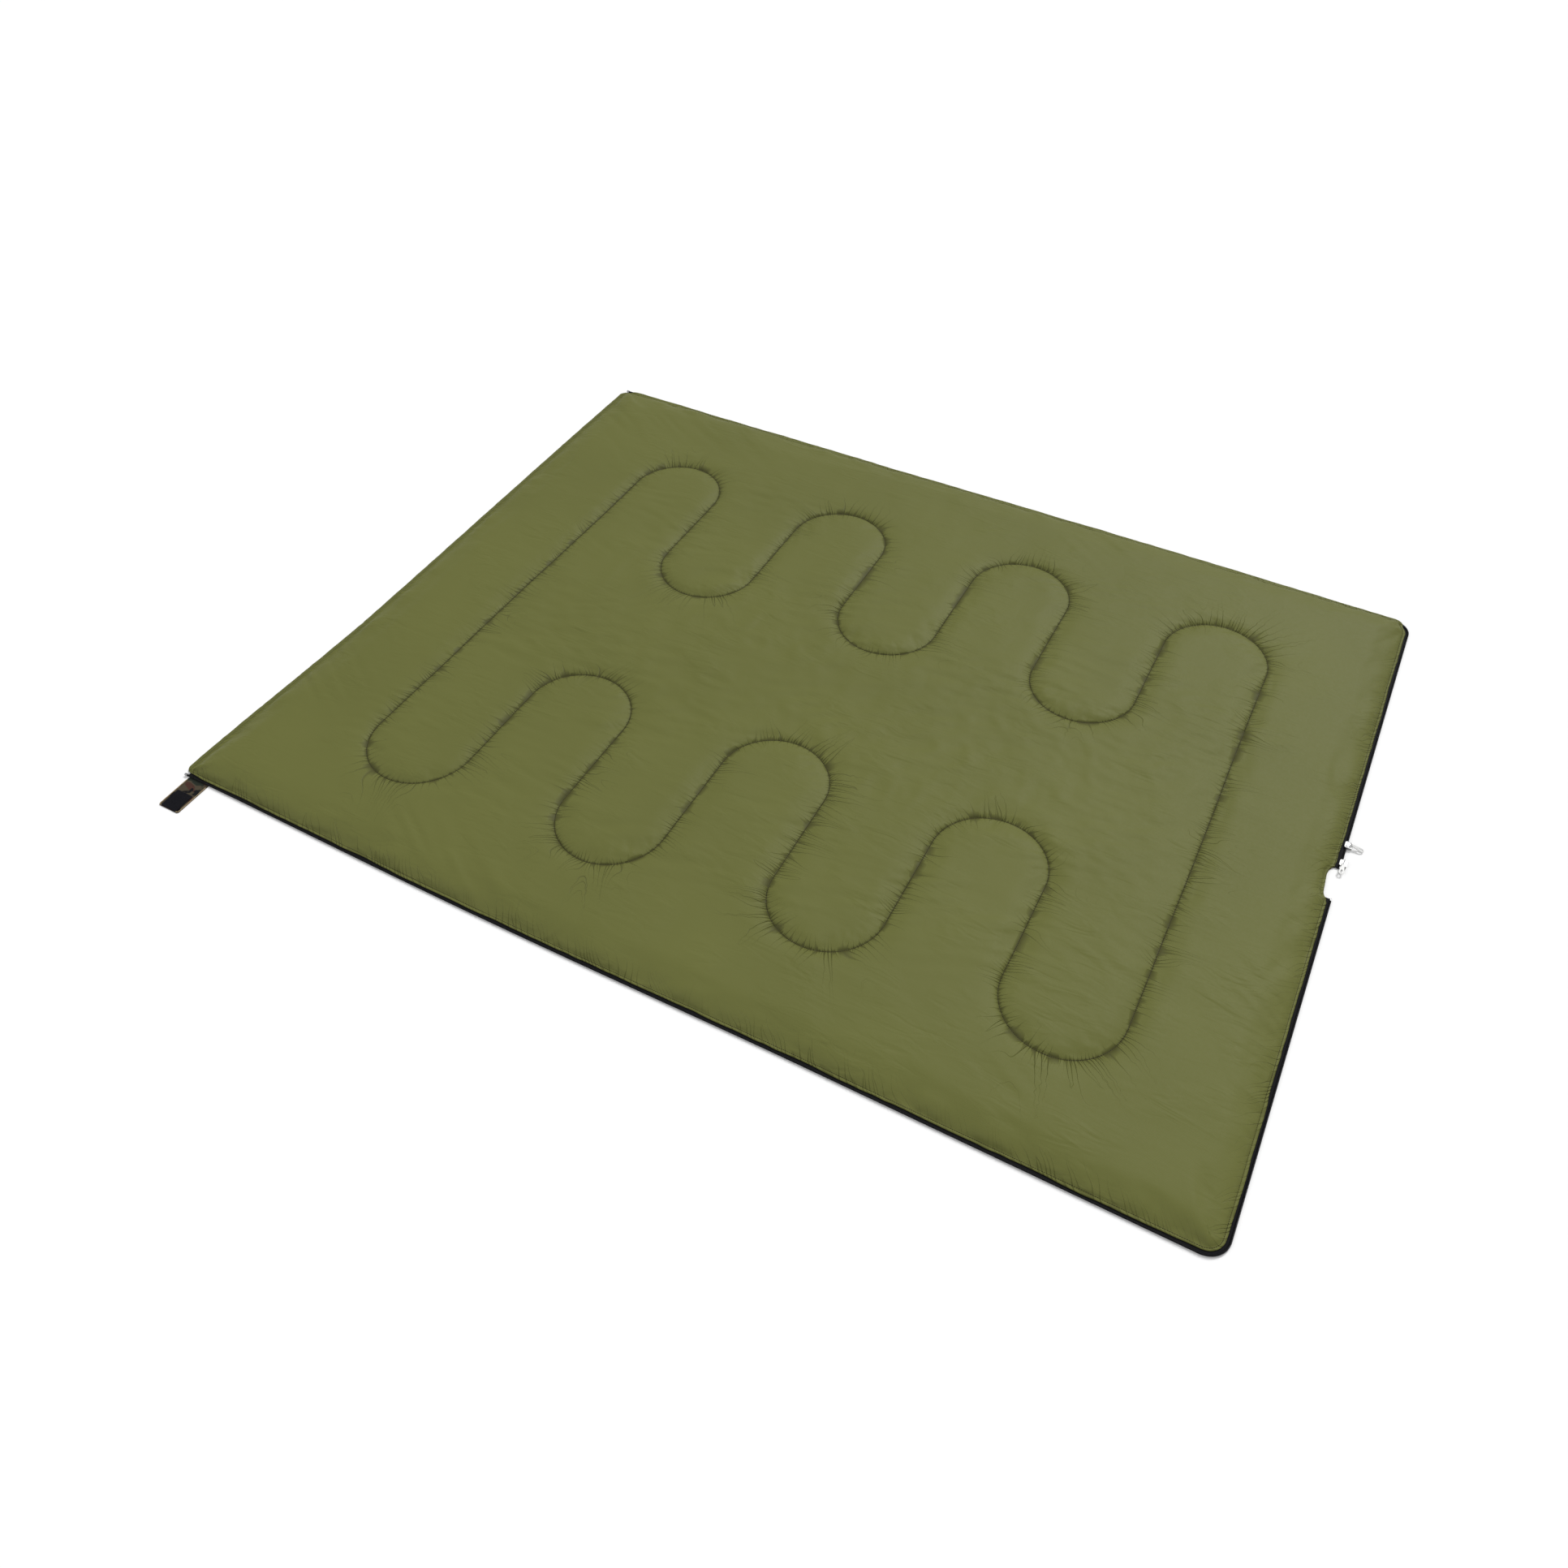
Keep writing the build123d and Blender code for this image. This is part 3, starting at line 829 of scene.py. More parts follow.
def repeat_along(name, path, closed, shape, pitch, turn, spread, seed, material_name):
    """One mesh holding a shape repeated along a path."""
    edges = [(i, i + 1) for i in range(len(path) - 1)] + ([(len(path) - 1, 0)] if closed else [])
    mesh = bpy.data.meshes.new(name + "_path")
    mesh.from_pydata([tuple(p) for p in path], edges, [])
    holder = bpy.data.objects.new(name + "_path", mesh)
    bpy.context.scene.collection.objects.link(holder)
    modifier = holder.modifiers.new("repeat", "NODES")
    group = repeater()
    values = {
        "Shape": shape, "Pitch": pitch, "Turn": turn, "Size spread": spread, "Seed": seed,
        "Material": finish(material_name),
    }
    with bpy.context.temp_override(object=holder):
        modifier.node_group = group
        for item in group.interface.items_tree:
            if item.in_out == "INPUT" and item.name in values:
                modifier[item.identifier] = values[item.name]
    holder.update_tag()
    view = holder.evaluated_get(bpy.context.evaluated_depsgraph_get())
    made = bpy.data.meshes.new_from_object(view)
    if len(made.vertices) < len(shape.data.vertices) * 20:
        raise RuntimeError(f"{name}: the path carries only {len(made.vertices)} points")
    made.name = name
    made.materials.clear()
    made.materials.append(finish(material_name))
    made.shade_smooth()
    piece = bpy.data.objects.new(name, made)
    bpy.context.scene.collection.objects.link(piece)
    bpy.data.objects.remove(holder)
    bpy.data.meshes.remove(mesh)
    return piece


# ------------------------------------------------------------------ finishes
def new_material(name):
    """A material with its Principled shader and a helper that adds and wires nodes."""
    material = bpy.data.materials.new(name)
    material.use_nodes = True
    tree = material.node_tree
    shader = tree.nodes["Principled BSDF"]

    def node(kind, inputs=None, **settings):
        made = tree.nodes.new(kind)
        for key, value in settings.items():
            setattr(made, key, value)
        for key, value in (inputs or {}).items():
            if isinstance(value, bpy.types.NodeSocket):
                tree.links.new(value, made.inputs[key])
            else:
                made.inputs[key].default_value = value
        return made

    return material, tree, shader, node


def blend_colours(node, factor, first, second):
    """Mix node between two colours, each a socket or an RGB triple."""
    made = node("ShaderNodeMix", data_type="RGBA")
    tree = made.id_data
    for key, value in ((0, factor), (6, first), (7, second)):
        if isinstance(value, bpy.types.NodeSocket):
            tree.links.new(value, made.inputs[key])
        else:
            made.inputs[key].default_value = value if key == 0 else (*value, 1.0)
    return made.outputs[2]


def cloud_noise(node, place, scale, detail):
    """Noise texture's value at a place."""
    inputs = {"Vector": place, "Scale": scale, "Detail": detail}
    return node("ShaderNodeTexNoise", inputs).outputs["Fac"]


def arithmetic(node, operation, first, second=0.0, third=0.0, clamp=False):
    """Math node on sockets or numbers."""
    made = node("ShaderNodeMath", operation=operation, use_clamp=clamp)
    tree = made.id_data
    for key, value in enumerate((first, second, third)):
        if isinstance(value, bpy.types.NodeSocket):
            tree.links.new(value, made.inputs[key])
        elif key < len(made.inputs):
            made.inputs[key].default_value = value
    return made.outputs[0]


def weave_height(node, place, thread):
    """Height of a plain weave with threads this far apart."""
    waves = []
    for axis in ("X", "Y"):
        wave = node(
            "ShaderNodeTexWave", {"Vector": place, "Scale": 1 / (20 * thread)},
            bands_direction=axis, wave_profile="SIN",
        )
        waves.append(wave.outputs["Fac"])
    return arithmetic(node, "MULTIPLY", waves[0], waves[1])


def olive_polyester(colours):
    """The plain lining: a fine, softly shining weave with puckers beside every seam, and painted
    shade in its seam grooves and creases.
    """
    material, tree, shader, node = new_material("olive_polyester")
    place = node("ShaderNodeTexCoord").outputs["Object"]
    seam_gap = node("ShaderNodeAttribute", attribute_name="seam_gap").outputs["Fac"]
    seam_run = node("ShaderNodeAttribute", attribute_name="seam_run").outputs["Fac"]
    edge_gap = node("ShaderNodeAttribute", attribute_name="edge_gap").outputs["Fac"]
    edge_run = node("ShaderNodeAttribute", attribute_name="edge_run").outputs["Fac"]

    seam_pull = node("ShaderNodeAttribute", attribute_name="seam_pull").outputs["Fac"]

    def creases(run, gap, pitch, length, reach, width, offset, lean=0.0):
        """Sharp creases that start at a seam and taper out: thin where a drawn-out noise
        crosses its middle, and gone beyond the reach."""
        slow_run = arithmetic(node, "DIVIDE", run, 0.06)
        slow = node("ShaderNodeCombineXYZ", {"X": slow_run, "Z": offset})
        slant = cloud_noise(node, slow.outputs[0], 1.0, 1.0)
        slant = arithmetic(node, "MULTIPLY", arithmetic(node, "SUBTRACT", slant, 0.5), 3.0)
        slant = arithmetic(node, "ADD", slant, lean)
        along = arithmetic(node, "MULTIPLY_ADD", slant, gap, run)
        at = node(
            "ShaderNodeCombineXYZ",
            {"X": arithmetic(node, "DIVIDE", along, pitch),
             "Y": arithmetic(node, "DIVIDE", gap, length),
             "Z": offset},
        )
        noise = cloud_noise(node, at.outputs[0], 1.0, 0.0)
        off = arithmetic(node, "ABSOLUTE", arithmetic(node, "SUBTRACT", noise, 0.5))
        faded = arithmetic(node, "MULTIPLY", arithmetic(node, "DIVIDE", gap, reach), -1.0)
        fade = arithmetic(node, "EXPONENT", faded)
        taper = arithmetic(node, "MULTIPLY_ADD", fade, width, 0.0005)
        share = arithmetic(node, "DIVIDE", off, taper)
        sharp = arithmetic(node, "SUBTRACT", 1.0, share, clamp=True)
        return arithmetic(node, "MULTIPLY", sharp, arithmetic(node, "POWER", fade, 0.6))

    long_reach = arithmetic(node, "MULTIPLY", seam_pull, 0.0170)
    short_reach = arithmetic(node, "MULTIPLY", seam_pull, 0.0050)
    long_creases = creases(seam_run, seam_gap, 0.0120, 0.30, long_reach, 0.045, 0.0)
    short_creases = creases(seam_run, seam_gap, 0.0048, 0.15, short_reach, 0.085, 4.0)
    edge_creases = creases(edge_run, edge_gap, 0.0130, 0.10, 0.011, 0.075, 9.0, 0.9)
    seam_creases = arithmetic(node, "MAXIMUM", long_creases, short_creases)
    patches = cloud_noise(node, place, 9.0, 1.0)
    patchy = node(
        "ShaderNodeMapRange",
        {"Value": patches, "From Min": 0.42, "From Max": 0.64, "To Min": 0.12},
    ).outputs[0]
    edge_patchy = arithmetic(node, "POWER", patchy, 0.5)
    edge_creases = arithmetic(node, "MULTIPLY", edge_creases, edge_patchy)

    cast = cloud_noise(node, place, 3.0, 3.0)
    rub = node(
        "ShaderNodeTexNoise", {"Vector": place, "Scale": 220.0, "Detail": 3.0, "Roughness": 0.6}
    ).outputs["Fac"]
    olive = Vector(colours.olive)
    tone = node("ShaderNodeMapRange", {"Value": cast, "From Min": 0.35, "From Max": 0.65})
    base = blend_colours(node, tone.outputs[0], tuple(olive * 0.975), tuple(olive * 1.025))
    # Painted shade: the colour darkens towards the crease colour in a thin line along the seam
    # groove, in the creases beside the seam and, fainter, in the creases at the edge
    line = arithmetic(node, "EXPONENT", arithmetic(node, "DIVIDE", seam_gap, -0.0011))
    dark = arithmetic(node, "MULTIPLY", seam_creases, 0.70)
    dark = arithmetic(node, "MAXIMUM", dark, arithmetic(node, "MULTIPLY", line, 0.85))
    dark = arithmetic(node, "MAXIMUM", dark, arithmetic(node, "MULTIPLY", edge_creases, 0.28))
    base = blend_colours(node, dark, base, tuple(colours.crease_shade))
    tree.links.new(base, shader.inputs["Base Color"])

    rough = node("ShaderNodeMapRange", {"Value": rub, "To Min": 0.50, "To Max": 0.62})
    tree.links.new(rough.outputs[0], shader.inputs["Roughness"])
    shader.inputs["Specular IOR Level"].default_value = 0.12
    shader.inputs["Sheen Weight"].default_value = 0.05
    shader.inputs["Sheen Roughness"].default_value = 0.45
    shader.inputs["Sheen Tint"].default_value = (*colours.olive, 1.0)

    sunk = arithmetic(node, "MAXIMUM", seam_creases, edge_creases)
    crease_bump = node(
        "ShaderNodeBump",
        {"Height": arithmetic(node, "MULTIPLY", sunk, -1.0), "Strength": 0.8, "Distance": 0.0016},
    )
    stretched = node(
        "ShaderNodeMapping",
        {"Vector": place, "Rotation": (0.0, 0.0, math.radians(-13)), "Scale": (15.0, 48.0, 15.0)},
    )
    cockle = node(
        "ShaderNodeTexNoise",
        {"Vector": stretched.outputs[0], "Scale": 1.0, "Detail": 2.0, "Roughness": 0.5,
         "Distortion": 0.8},
    ).outputs["Fac"]
    cockle_bump = node(
        "ShaderNodeBump",
        {
            "Height": arithmetic(node, "MULTIPLY", cockle, patchy), "Strength": 0.55,
            "Distance": 0.0042, "Normal": crease_bump.outputs[0],
        },
    )
    weave_bump = node(
        "ShaderNodeBump",
        {
            "Height": weave_height(node, place, 0.0004), "Strength": 0.15, "Distance": 0.00015,
            "Normal": cockle_bump.outputs[0],
        },
    )
    tree.links.new(weave_bump.outputs[0], shader.inputs["Normal"])
    return material


def plain_weave(name, colour, thread, roughness, sheen=0.2, wear=0.25, depth=0.0002):
    """A woven narrow cloth of one colour with a visible thread and slight wear."""
    material, tree, shader, node = new_material(name)
    place = node("ShaderNodeTexCoord").outputs["Object"]
    weave = weave_height(node, place, thread)
    fray = cloud_noise(node, place, 400.0, 4.0)
    tint = Vector(colour)
    light = blend_colours(node, fray, tuple(tint * (1 - wear)), tuple(tint * (1 + wear)))
    shade = blend_colours(node, weave, tuple(tint * 0.6), light)
    tree.links.new(shade, shader.inputs["Base Color"])
    rough = node(
        "ShaderNodeMapRange",
        {"Value": fray, "To Min": roughness - 0.06, "To Max": roughness + 0.06},
    )
    tree.links.new(rough.outputs[0], shader.inputs["Roughness"])
    shader.inputs["Sheen Weight"].default_value = sheen
    shader.inputs["Specular IOR Level"].default_value = 0.14
    bump = node("ShaderNodeBump", {"Height": weave, "Strength": 0.6, "Distance": depth})
    tree.links.new(bump.outputs[0], shader.inputs["Normal"])
    return material


def camouflage_print(colours):
    """The shell's printed cloth: soft-edged blotches of four colours over a plain weave."""
    material, tree, shader, node = new_material("camouflage_print")
    place = node("ShaderNodeTexCoord").outputs["Object"]
    base = tuple(colours.camo_ground)
    for colour, scale, offset, threshold in (
        (colours.camo_green, 20.0, 3.1, 0.50),
        (colours.camo_brown, 26.0, 11.7, 0.53),
        (colours.camo_black, 34.0, 27.3, 0.56),
    ):
        moved = node("ShaderNodeMapping", {"Vector": place, "Location": (offset, offset, offset)})
        blotch = node(
            "ShaderNodeTexNoise",
            {"Vector": moved.outputs[0], "Scale": scale, "Detail": 2.5, "Distortion": 0.9},
        )
        edge = node(
            "ShaderNodeMapRange",
            {"Value": blotch.outputs["Fac"], "From Min": threshold, "From Max": threshold + 0.02},
        )
        base = blend_colours(node, edge.outputs[0], base, tuple(colour))
    weave = weave_height(node, place, 0.0006)
    fine = cloud_noise(node, place, 500.0, 2.0)
    worn = node("ShaderNodeHueSaturation", {"Color": base, "Saturation": 0.9})
    value = node("ShaderNodeMapRange", {"Value": fine, "To Min": 0.8, "To Max": 1.2}).outputs[0]
    tree.links.new(value, worn.inputs["Value"])
    tree.links.new(worn.outputs[0], shader.inputs["Base Color"])
    rough = node("ShaderNodeMapRange", {"Value": fine, "To Min": 0.62, "To Max": 0.78})
    tree.links.new(rough.outputs[0], shader.inputs["Roughness"])
    shader.inputs["Specular IOR Level"].default_value = 0.12
    bump = node("ShaderNodeBump", {"Height": weave, "Strength": 0.5, "Distance": 0.0002})
    tree.links.new(bump.outputs[0], shader.inputs["Normal"])
    return material


def moulded_nylon(colours):
    """The zip coil: smooth black nylon with a slight gloss."""
    material, tree, shader, node = new_material("moulded_nylon")
    place = node("ShaderNodeTexCoord").outputs["Object"]
    dust = cloud_noise(node, place, 300.0, 3.0)
    tint = Vector(colours.tape)
    base = blend_colours(node, dust, tuple(tint * 0.8), tuple(tint * 1.7))
    tree.links.new(base, shader.inputs["Base Color"])
    rough = node("ShaderNodeMapRange", {"Value": dust, "To Min": 0.30, "To Max": 0.45})
    tree.links.new(rough.outputs[0], shader.inputs["Roughness"])
    shader.inputs["Specular IOR Level"].default_value = 0.25
    return material


def cast_metal(name, colour, metallic, roughness):
    """Small die-cast metal: slightly uneven, a little brighter in some places and darker in
    others.
    """
    material, tree, shader, node = new_material(name)
    place = node("ShaderNodeTexCoord").outputs["Object"]
    cloud = cloud_noise(node, place, 260.0, 4.0)
    tint = Vector(colour)
    base = blend_colours(node, cloud, tuple(tint * 0.86), tuple(min(c, 0.95) for c in tint * 1.08))
    tree.links.new(base, shader.inputs["Base Color"])
    rough = node(
        "ShaderNodeMapRange",
        {"Value": cloud, "To Min": roughness - 0.08, "To Max": roughness + 0.08},
    )
    tree.links.new(rough.outputs[0], shader.inputs["Roughness"])
    shader.inputs["Metallic"].default_value = metallic
    bump = node("ShaderNodeBump", {"Height": cloud, "Strength": 0.12, "Distance": 0.0002})
    tree.links.new(bump.outputs[0], shader.inputs["Normal"])
    return material


def hook_tape(name, colours, scale):
    """Hook or loop tape: a field of tiny hooks, with painted shade between them and painted light
    on their tops.
    """
    material, tree, shader, node = new_material(name)
    place = node("ShaderNodeTexCoord").outputs["Object"]
    cells = node("ShaderNodeTexVoronoi", {"Vector": place, "Scale": scale, "Randomness": 0.5})
    lift = node(
        "ShaderNodeMapRange",
        {"Value": cells.outputs["Distance"], "From Max": 0.5, "To Min": 1.0, "To Max": 0.0},
    ).outputs[0]
    # Painted shade and painted light: the colour follows the hooks' height, dark low between them
    # and lighter on their tops
    tint = Vector(colours.patch)
    base = blend_colours(node, lift, tuple(tint * 0.5), tuple(tint * 2.2))
    tree.links.new(base, shader.inputs["Base Color"])
    rough = node("ShaderNodeMapRange", {"Value": lift, "To Min": 0.75, "To Max": 0.5})
    tree.links.new(rough.outputs[0], shader.inputs["Roughness"])
    shader.inputs["Specular IOR Level"].default_value = 0.12
    bump = node("ShaderNodeBump", {"Height": lift, "Strength": 0.9, "Distance": 0.0006})
    tree.links.new(bump.outputs[0], shader.inputs["Normal"])
    return material


def finish(name):
    """One of the bag's materials, made when it is first asked for. Its names differ from those of
    the materials that are there already."""
    if name in bpy.data.materials:
        return bpy.data.materials[name]
    colours = bpy.context.scene.bag_finish
    makers = {
        "olive_polyester": lambda: olive_polyester(colours),
        "camouflage_print": lambda: camouflage_print(colours),
        "hem_weave": lambda: plain_weave("hem_weave", colours.hem, 0.0005, 0.7, 0.0),
        "sewing_thread": lambda: plain_weave(
            "sewing_thread", colours.thread, 0.0003, 0.65, 0.0, depth=0.0001
        ),
        "zip_tape_weave": lambda: plain_weave("zip_tape_weave", colours.tape, 0.0006, 0.75, 0.0),
        "moulded_nylon": lambda: moulded_nylon(colours),
        "cast_slider": lambda: cast_metal("cast_slider", colours.enamel, 0.15, 0.42),
        "stamped_steel": lambda: cast_metal("stamped_steel", (0.45, 0.45, 0.46), 1.0, 0.32),
        "tan_edging": lambda: plain_weave("tan_edging", colours.edging, 0.0007, 0.7),
        "hook_tape": lambda: hook_tape("hook_tape", colours, 900.0),
        "loop_tape": lambda: hook_tape("loop_tape", colours, 600.0),
    }
    return makers[name]()


def dress(piece, material_name):
    """Gives a piece its material: in each of its slots, or in a new one if it has none."""
    material = finish(material_name)
    if piece.material_slots:
        for held in piece.material_slots:
            held.material = material
    else:
        piece.data.materials.append(material)
    return piece


# ------------------------------------------------------------------ operators
class BAG_OT_stage(bpy.types.Operator):
    """Makes the floor, the lights and the camera"""

    bl_idname = "bag.stage"
    bl_label = "Stage"

    def execute(self, context):
        stage = context.scene.bag_stage
        camera_data = bpy.data.cameras.new("camera")
        camera_data.lens = stage.lens
        camera_data.sensor_width = 36.0
        camera = bpy.data.objects.new("camera", camera_data)
        camera.location = stage.camera_place
        camera.rotation_euler = stage.camera_turn
        context.scene.collection.objects.link(camera)
        context.scene.camera = camera

        far = 9
        corners = [(-far, -far, 0), (far, -far, 0), (far, far, 0), (-far, far, 0)]
        floor = new_piece("floor", corners, [(0, 1, 2, 3)])
        material, tree, shader, node = new_material("floor_paint")
        place = node("ShaderNodeTexCoord").outputs["Object"]
        grain = node("ShaderNodeTexNoise", {"Vector": place, "Scale": 0.6}).outputs["Fac"]
        shade = blend_colours(node, grain, (0.87, 0.87, 0.87), (0.90, 0.90, 0.90))
        tree.links.new(shade, shader.inputs["Base Color"])
        shader.inputs["Roughness"].default_value = 0.9
        shader.inputs["Specular IOR Level"].default_value = 0.1
        floor.data.materials.append(material)

        world = bpy.data.worlds.new("studio")
        world.use_nodes = True
        world.node_tree.nodes["Background"].inputs["Color"].default_value = (1, 1, 1, 1)
        world.node_tree.nodes["Background"].inputs["Strength"].default_value = stage.sky
        context.scene.world = world
        for name, place, softness, strength in (
            ("key_light", (0.3, 1.7, 1.8), 20.0, stage.key),
            ("fill_light", (-1.2, -2.0, 2.6), 60.0, stage.fill),
        ):
            light_data = bpy.data.lights.new(name, "SUN")
            light_data.energy = strength
            light_data.angle = math.radians(softness)
            light = bpy.data.objects.new(name, light_data)
            light.location = place
            light.rotation_euler = (-Vector(place)).to_track_quat("-Z", "Y").to_euler()
            context.scene.collection.objects.link(light)
        context.scene.view_settings.view_transform = "Standard"
        return {"FINISHED"}


class BAG_OT_lining(bpy.types.Operator):
    """Makes the quilted lining with its filling, crossing the fold"""

    bl_idname = "bag.lining"
    bl_label = "Lining"

    def execute(self, context):
        quilt = context.scene.bag_quilt
        loop, loop_run, loop_left = seam_loop(quilt, SEAM_STEP)
        outline, overhang = panel_outline(
            quilt, HEM_HIGH.x + 2 * CLEARANCE, OUTLINE_STEP, quilt.overhang
        )
        inward = path_normals(outline, closed=True)

        rows = [outline]
        for inset in EDGE_ROWS:
            rows.append(inset_row(outline, inward, inset))
        rows.append(loop)
        for reach in SEAM_ROWS + WIDE_SEAM_ROWS:
            for side in (-1, 1):
                keep = 2 if reach in WIDE_SEAM_ROWS else 1
                rows.append((loop + loop_left * side * reach)[::keep])
        grid = []
        for line, y in enumerate(np.arange(-PANEL_HIGH.y, PANEL_HIGH.y, LINING_GRID * 0.866)):
            start = HEM_HIGH.x + (line % 2) * LINING_GRID / 2
            grid += [(x, y) for x in np.arange(start, PANEL_HIGH.x, LINING_GRID)]
        grid = np.array(grid)
        seam_far = nearest_on(loop, grid)[0] > WIDE_SEAM_ROWS[-1] + 0.0055
        edge_far = nearest_on(outline, grid)[0] > EDGE_ROWS[-1] + 0.005
        rows.append(grid[seam_far & edge_far])
        flat = np.vstack(rows)

        seam_gap, seam_at = nearest_on(loop, flat)
        edge_gap, edge_at = nearest_on(outline, flat)
        seam_run, edge_run = loop_run[seam_at], edge_at * OUTLINE_STEP
        away = flat - loop[seam_at]
        side = np.sign(np.sum(away * loop_left[seam_at], 1))
        tris = triangulate(flat, len(outline))

        def over_coil(gap, at):
            """How much the cloth is lifted where it lies out over the zip's coil."""
            lift = COIL_HIGH.z - TAPE_HIGH.z + 0.0001
            return lift * smooth_step(0.0034, 0.0054, overhang[at] - gap)

        height = lining_height(quilt, seam_gap, edge_gap, seam_run, edge_run)
        height += over_coil(edge_gap, edge_at)
        start = np.column_stack([flat, height])
        lining = new_piece("lining", start, tris)
        sewn = (seam_gap < 0.0005) | (edge_gap < quilt.allowance)
        weights = np.exp(-seam_gap / 0.020) + 0.8 * np.exp(-edge_gap / 0.030)
        relax(lining, sewn, quilt.ease, np.clip(weights, 0.0, 1), MOST_MOVE)
        top = coordinates(lining.data)

        pull = pull_of_seam(loop_run, loop_left, seam_at, side)
        folds = pull * gathers(seam_run, seam_gap, side, 40 + quilt.seed)
        rim = gathers(edge_run * 0.6, np.clip(edge_gap - 0.004, 0, None) * 0.6, 1.0, 60)
        shade = smooth_step(0.003, 0.009, edge_gap)
        top[:, 2] += quilt.pucker * (folds + 1.3 * rim * shade)
        open_cloth = smooth_step(0, 0.02, seam_gap)
        top[:, 2] += rumples(flat[:, 0], flat[:, 1], quilt) * shade * open_cloth
        near_fold = 1 - smooth_step(0.02, 0.07, np.abs(flat[:, 1]))
        soft = 0.0006
        ceiling = PANEL_HIGH.z + soft - 0.0008 * near_fold
        top[:, 2] = ceiling - np.logaddexp(0, (ceiling - top[:, 2]) / soft) * soft
        bpy.data.objects.remove(lining)

        under_rows = [outline]
        for inside in (-0.0054, 0.0071, 0.0106):
            under_rows.append(inset_row(outline, inward, overhang + inside, 0.003)[::2])
        sparse = []
        for y in np.concatenate([np.arange(-0.7, 0.7, 0.028), np.linspace(-0.036, 0.036, 9)]):
            for x in np.arange(HEM_HIGH.x + 0.02, PANEL_HIGH.x - 0.02, 0.028):
                sparse.append((x, y))
        sparse = np.array(sparse)
        under_rows.append(sparse[nearest_on(outline, sparse)[0] > 0.018])
        under = np.vstack(under_rows)
        under_gap, under_at = nearest_on(outline, under)
        floor_z = SHELL_HIGH.z + 0.0003
        drop = smooth_step(0.0070, 0.0105, under_gap - overhang[under_at])
        under_z = (TAPE_HIGH.z + 0.0002) * (1 - drop) + floor_z * drop
        under_z += over_coil(under_gap, under_at)

        points, faces = closed_skins(
            top, tris, np.column_stack([under, under_z]),
            flipped(triangulate(under, len(outline))), len(outline),
        )
        points[:, :2] = lie(points[:, :2])
        lining = new_piece("lining", points, faces)
        for name, values, underneath in (
            ("seam_gap", seam_gap, 0.05), ("seam_run", seam_run, 0.0),
            ("edge_gap", edge_gap, 0.05), ("edge_run", edge_run, 0.0), ("seam_pull", pull, 0.5),
        ):
            plain = np.full(len(under), underneath)
            set_attribute(lining.data, name, np.concatenate([values, plain]))
        dress(lining, "olive_polyester")
        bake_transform(lining)
        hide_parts("lining_near", "lining_far", "filling_near", "filling_far")
        return {"FINISHED"}


class BAG_OT_outer_shell(bpy.types.Operator):
    """Makes the camouflage outer shell that lies on the ground"""

    bl_idname = "bag.outer_shell"
    bl_label = "Outer shell"

    def execute(self, context):
        quilt = context.scene.bag_quilt
        outline, _ = panel_outline(quilt, SHELL_LOW.x, SHELL_STEP)
        inward = path_normals(outline, closed=True)
        rows = [outline]
        for inset in (0.0030, 0.0085):
            rows.append(inset_row(outline, inward, inset))
        grid = [
            (x, y)
            for y in np.concatenate([
                np.arange(-0.72, -0.045, SHELL_GRID), np.linspace(-0.04, 0.04, 17),
                np.arange(0.0535, 0.72, SHELL_GRID),
            ])
            for x in np.arange(SHELL_LOW.x + 0.014, PANEL_HIGH.x - 0.010, SHELL_GRID)
        ]
        grid = np.array(grid)
        in_patch = (
            (np.abs(grid[:, 0] - (LOOP_LOW.x + LOOP_HIGH.x) / 2) < 0.026)
            & (np.abs(grid[:, 1] - (LOOP_LOW.y + LOOP_HIGH.y) / 2) < 0.028)
        )
        rows.append(grid[(nearest_on(outline, grid)[0] > 0.015) & ~in_patch])
        fine = np.array([
            (x, y)
            for y in np.arange(LOOP_LOW.y - 0.004, LOOP_HIGH.y + 0.0041, PATCH_GRID)
            for x in np.arange(LOOP_LOW.x - 0.004, LOOP_HIGH.x + 0.0041, PATCH_GRID)
        ])
        rows.append(fine[nearest_on(np.vstack(rows), fine)[0] > 0.002])
        flat = np.vstack(rows)
        tris = triangulate(flat, len(outline))
        edge_gap, _ = nearest_on(outline, flat)
        rim = np.clip(edge_gap / 0.003, 0, 1)
        wave = 0.00012 * (1 + value_noise(flat[:, 0] / 0.06, flat[:, 1] / 0.06, 5))
        top = SHELL_HIGH.z - 0.00025 * (1 - rim) - 0.0001
        bottom = 0.0001 + 0.00025 * (1 - rim) + wave
        over_patch = (
            (flat[:, 0] > LOOP_LOW.x - 0.0012) & (flat[:, 0] < LOOP_HIGH.x + 0.0012)
            & (flat[:, 1] > LOOP_LOW.y - 0.0012) & (flat[:, 1] < LOOP_HIGH.y + 0.0012)
        )
        bottom = np.where(over_patch, LOOP_HIGH.z + 0.0001, bottom)
        points, faces = closed_skins(
            np.column_stack([flat, top]), tris, np.column_stack([flat, bottom]), flipped(tris),
            len(outline),
        )
        points[:, :2] = lie(points[:, :2])
        shell = new_piece("outer_shell", points, faces)
        face_outwards(shell.data)
        dress(shell, "camouflage_print")
        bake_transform(shell)
        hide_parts("outer_shell_near", "outer_shell_far")
        return {"FINISHED"}


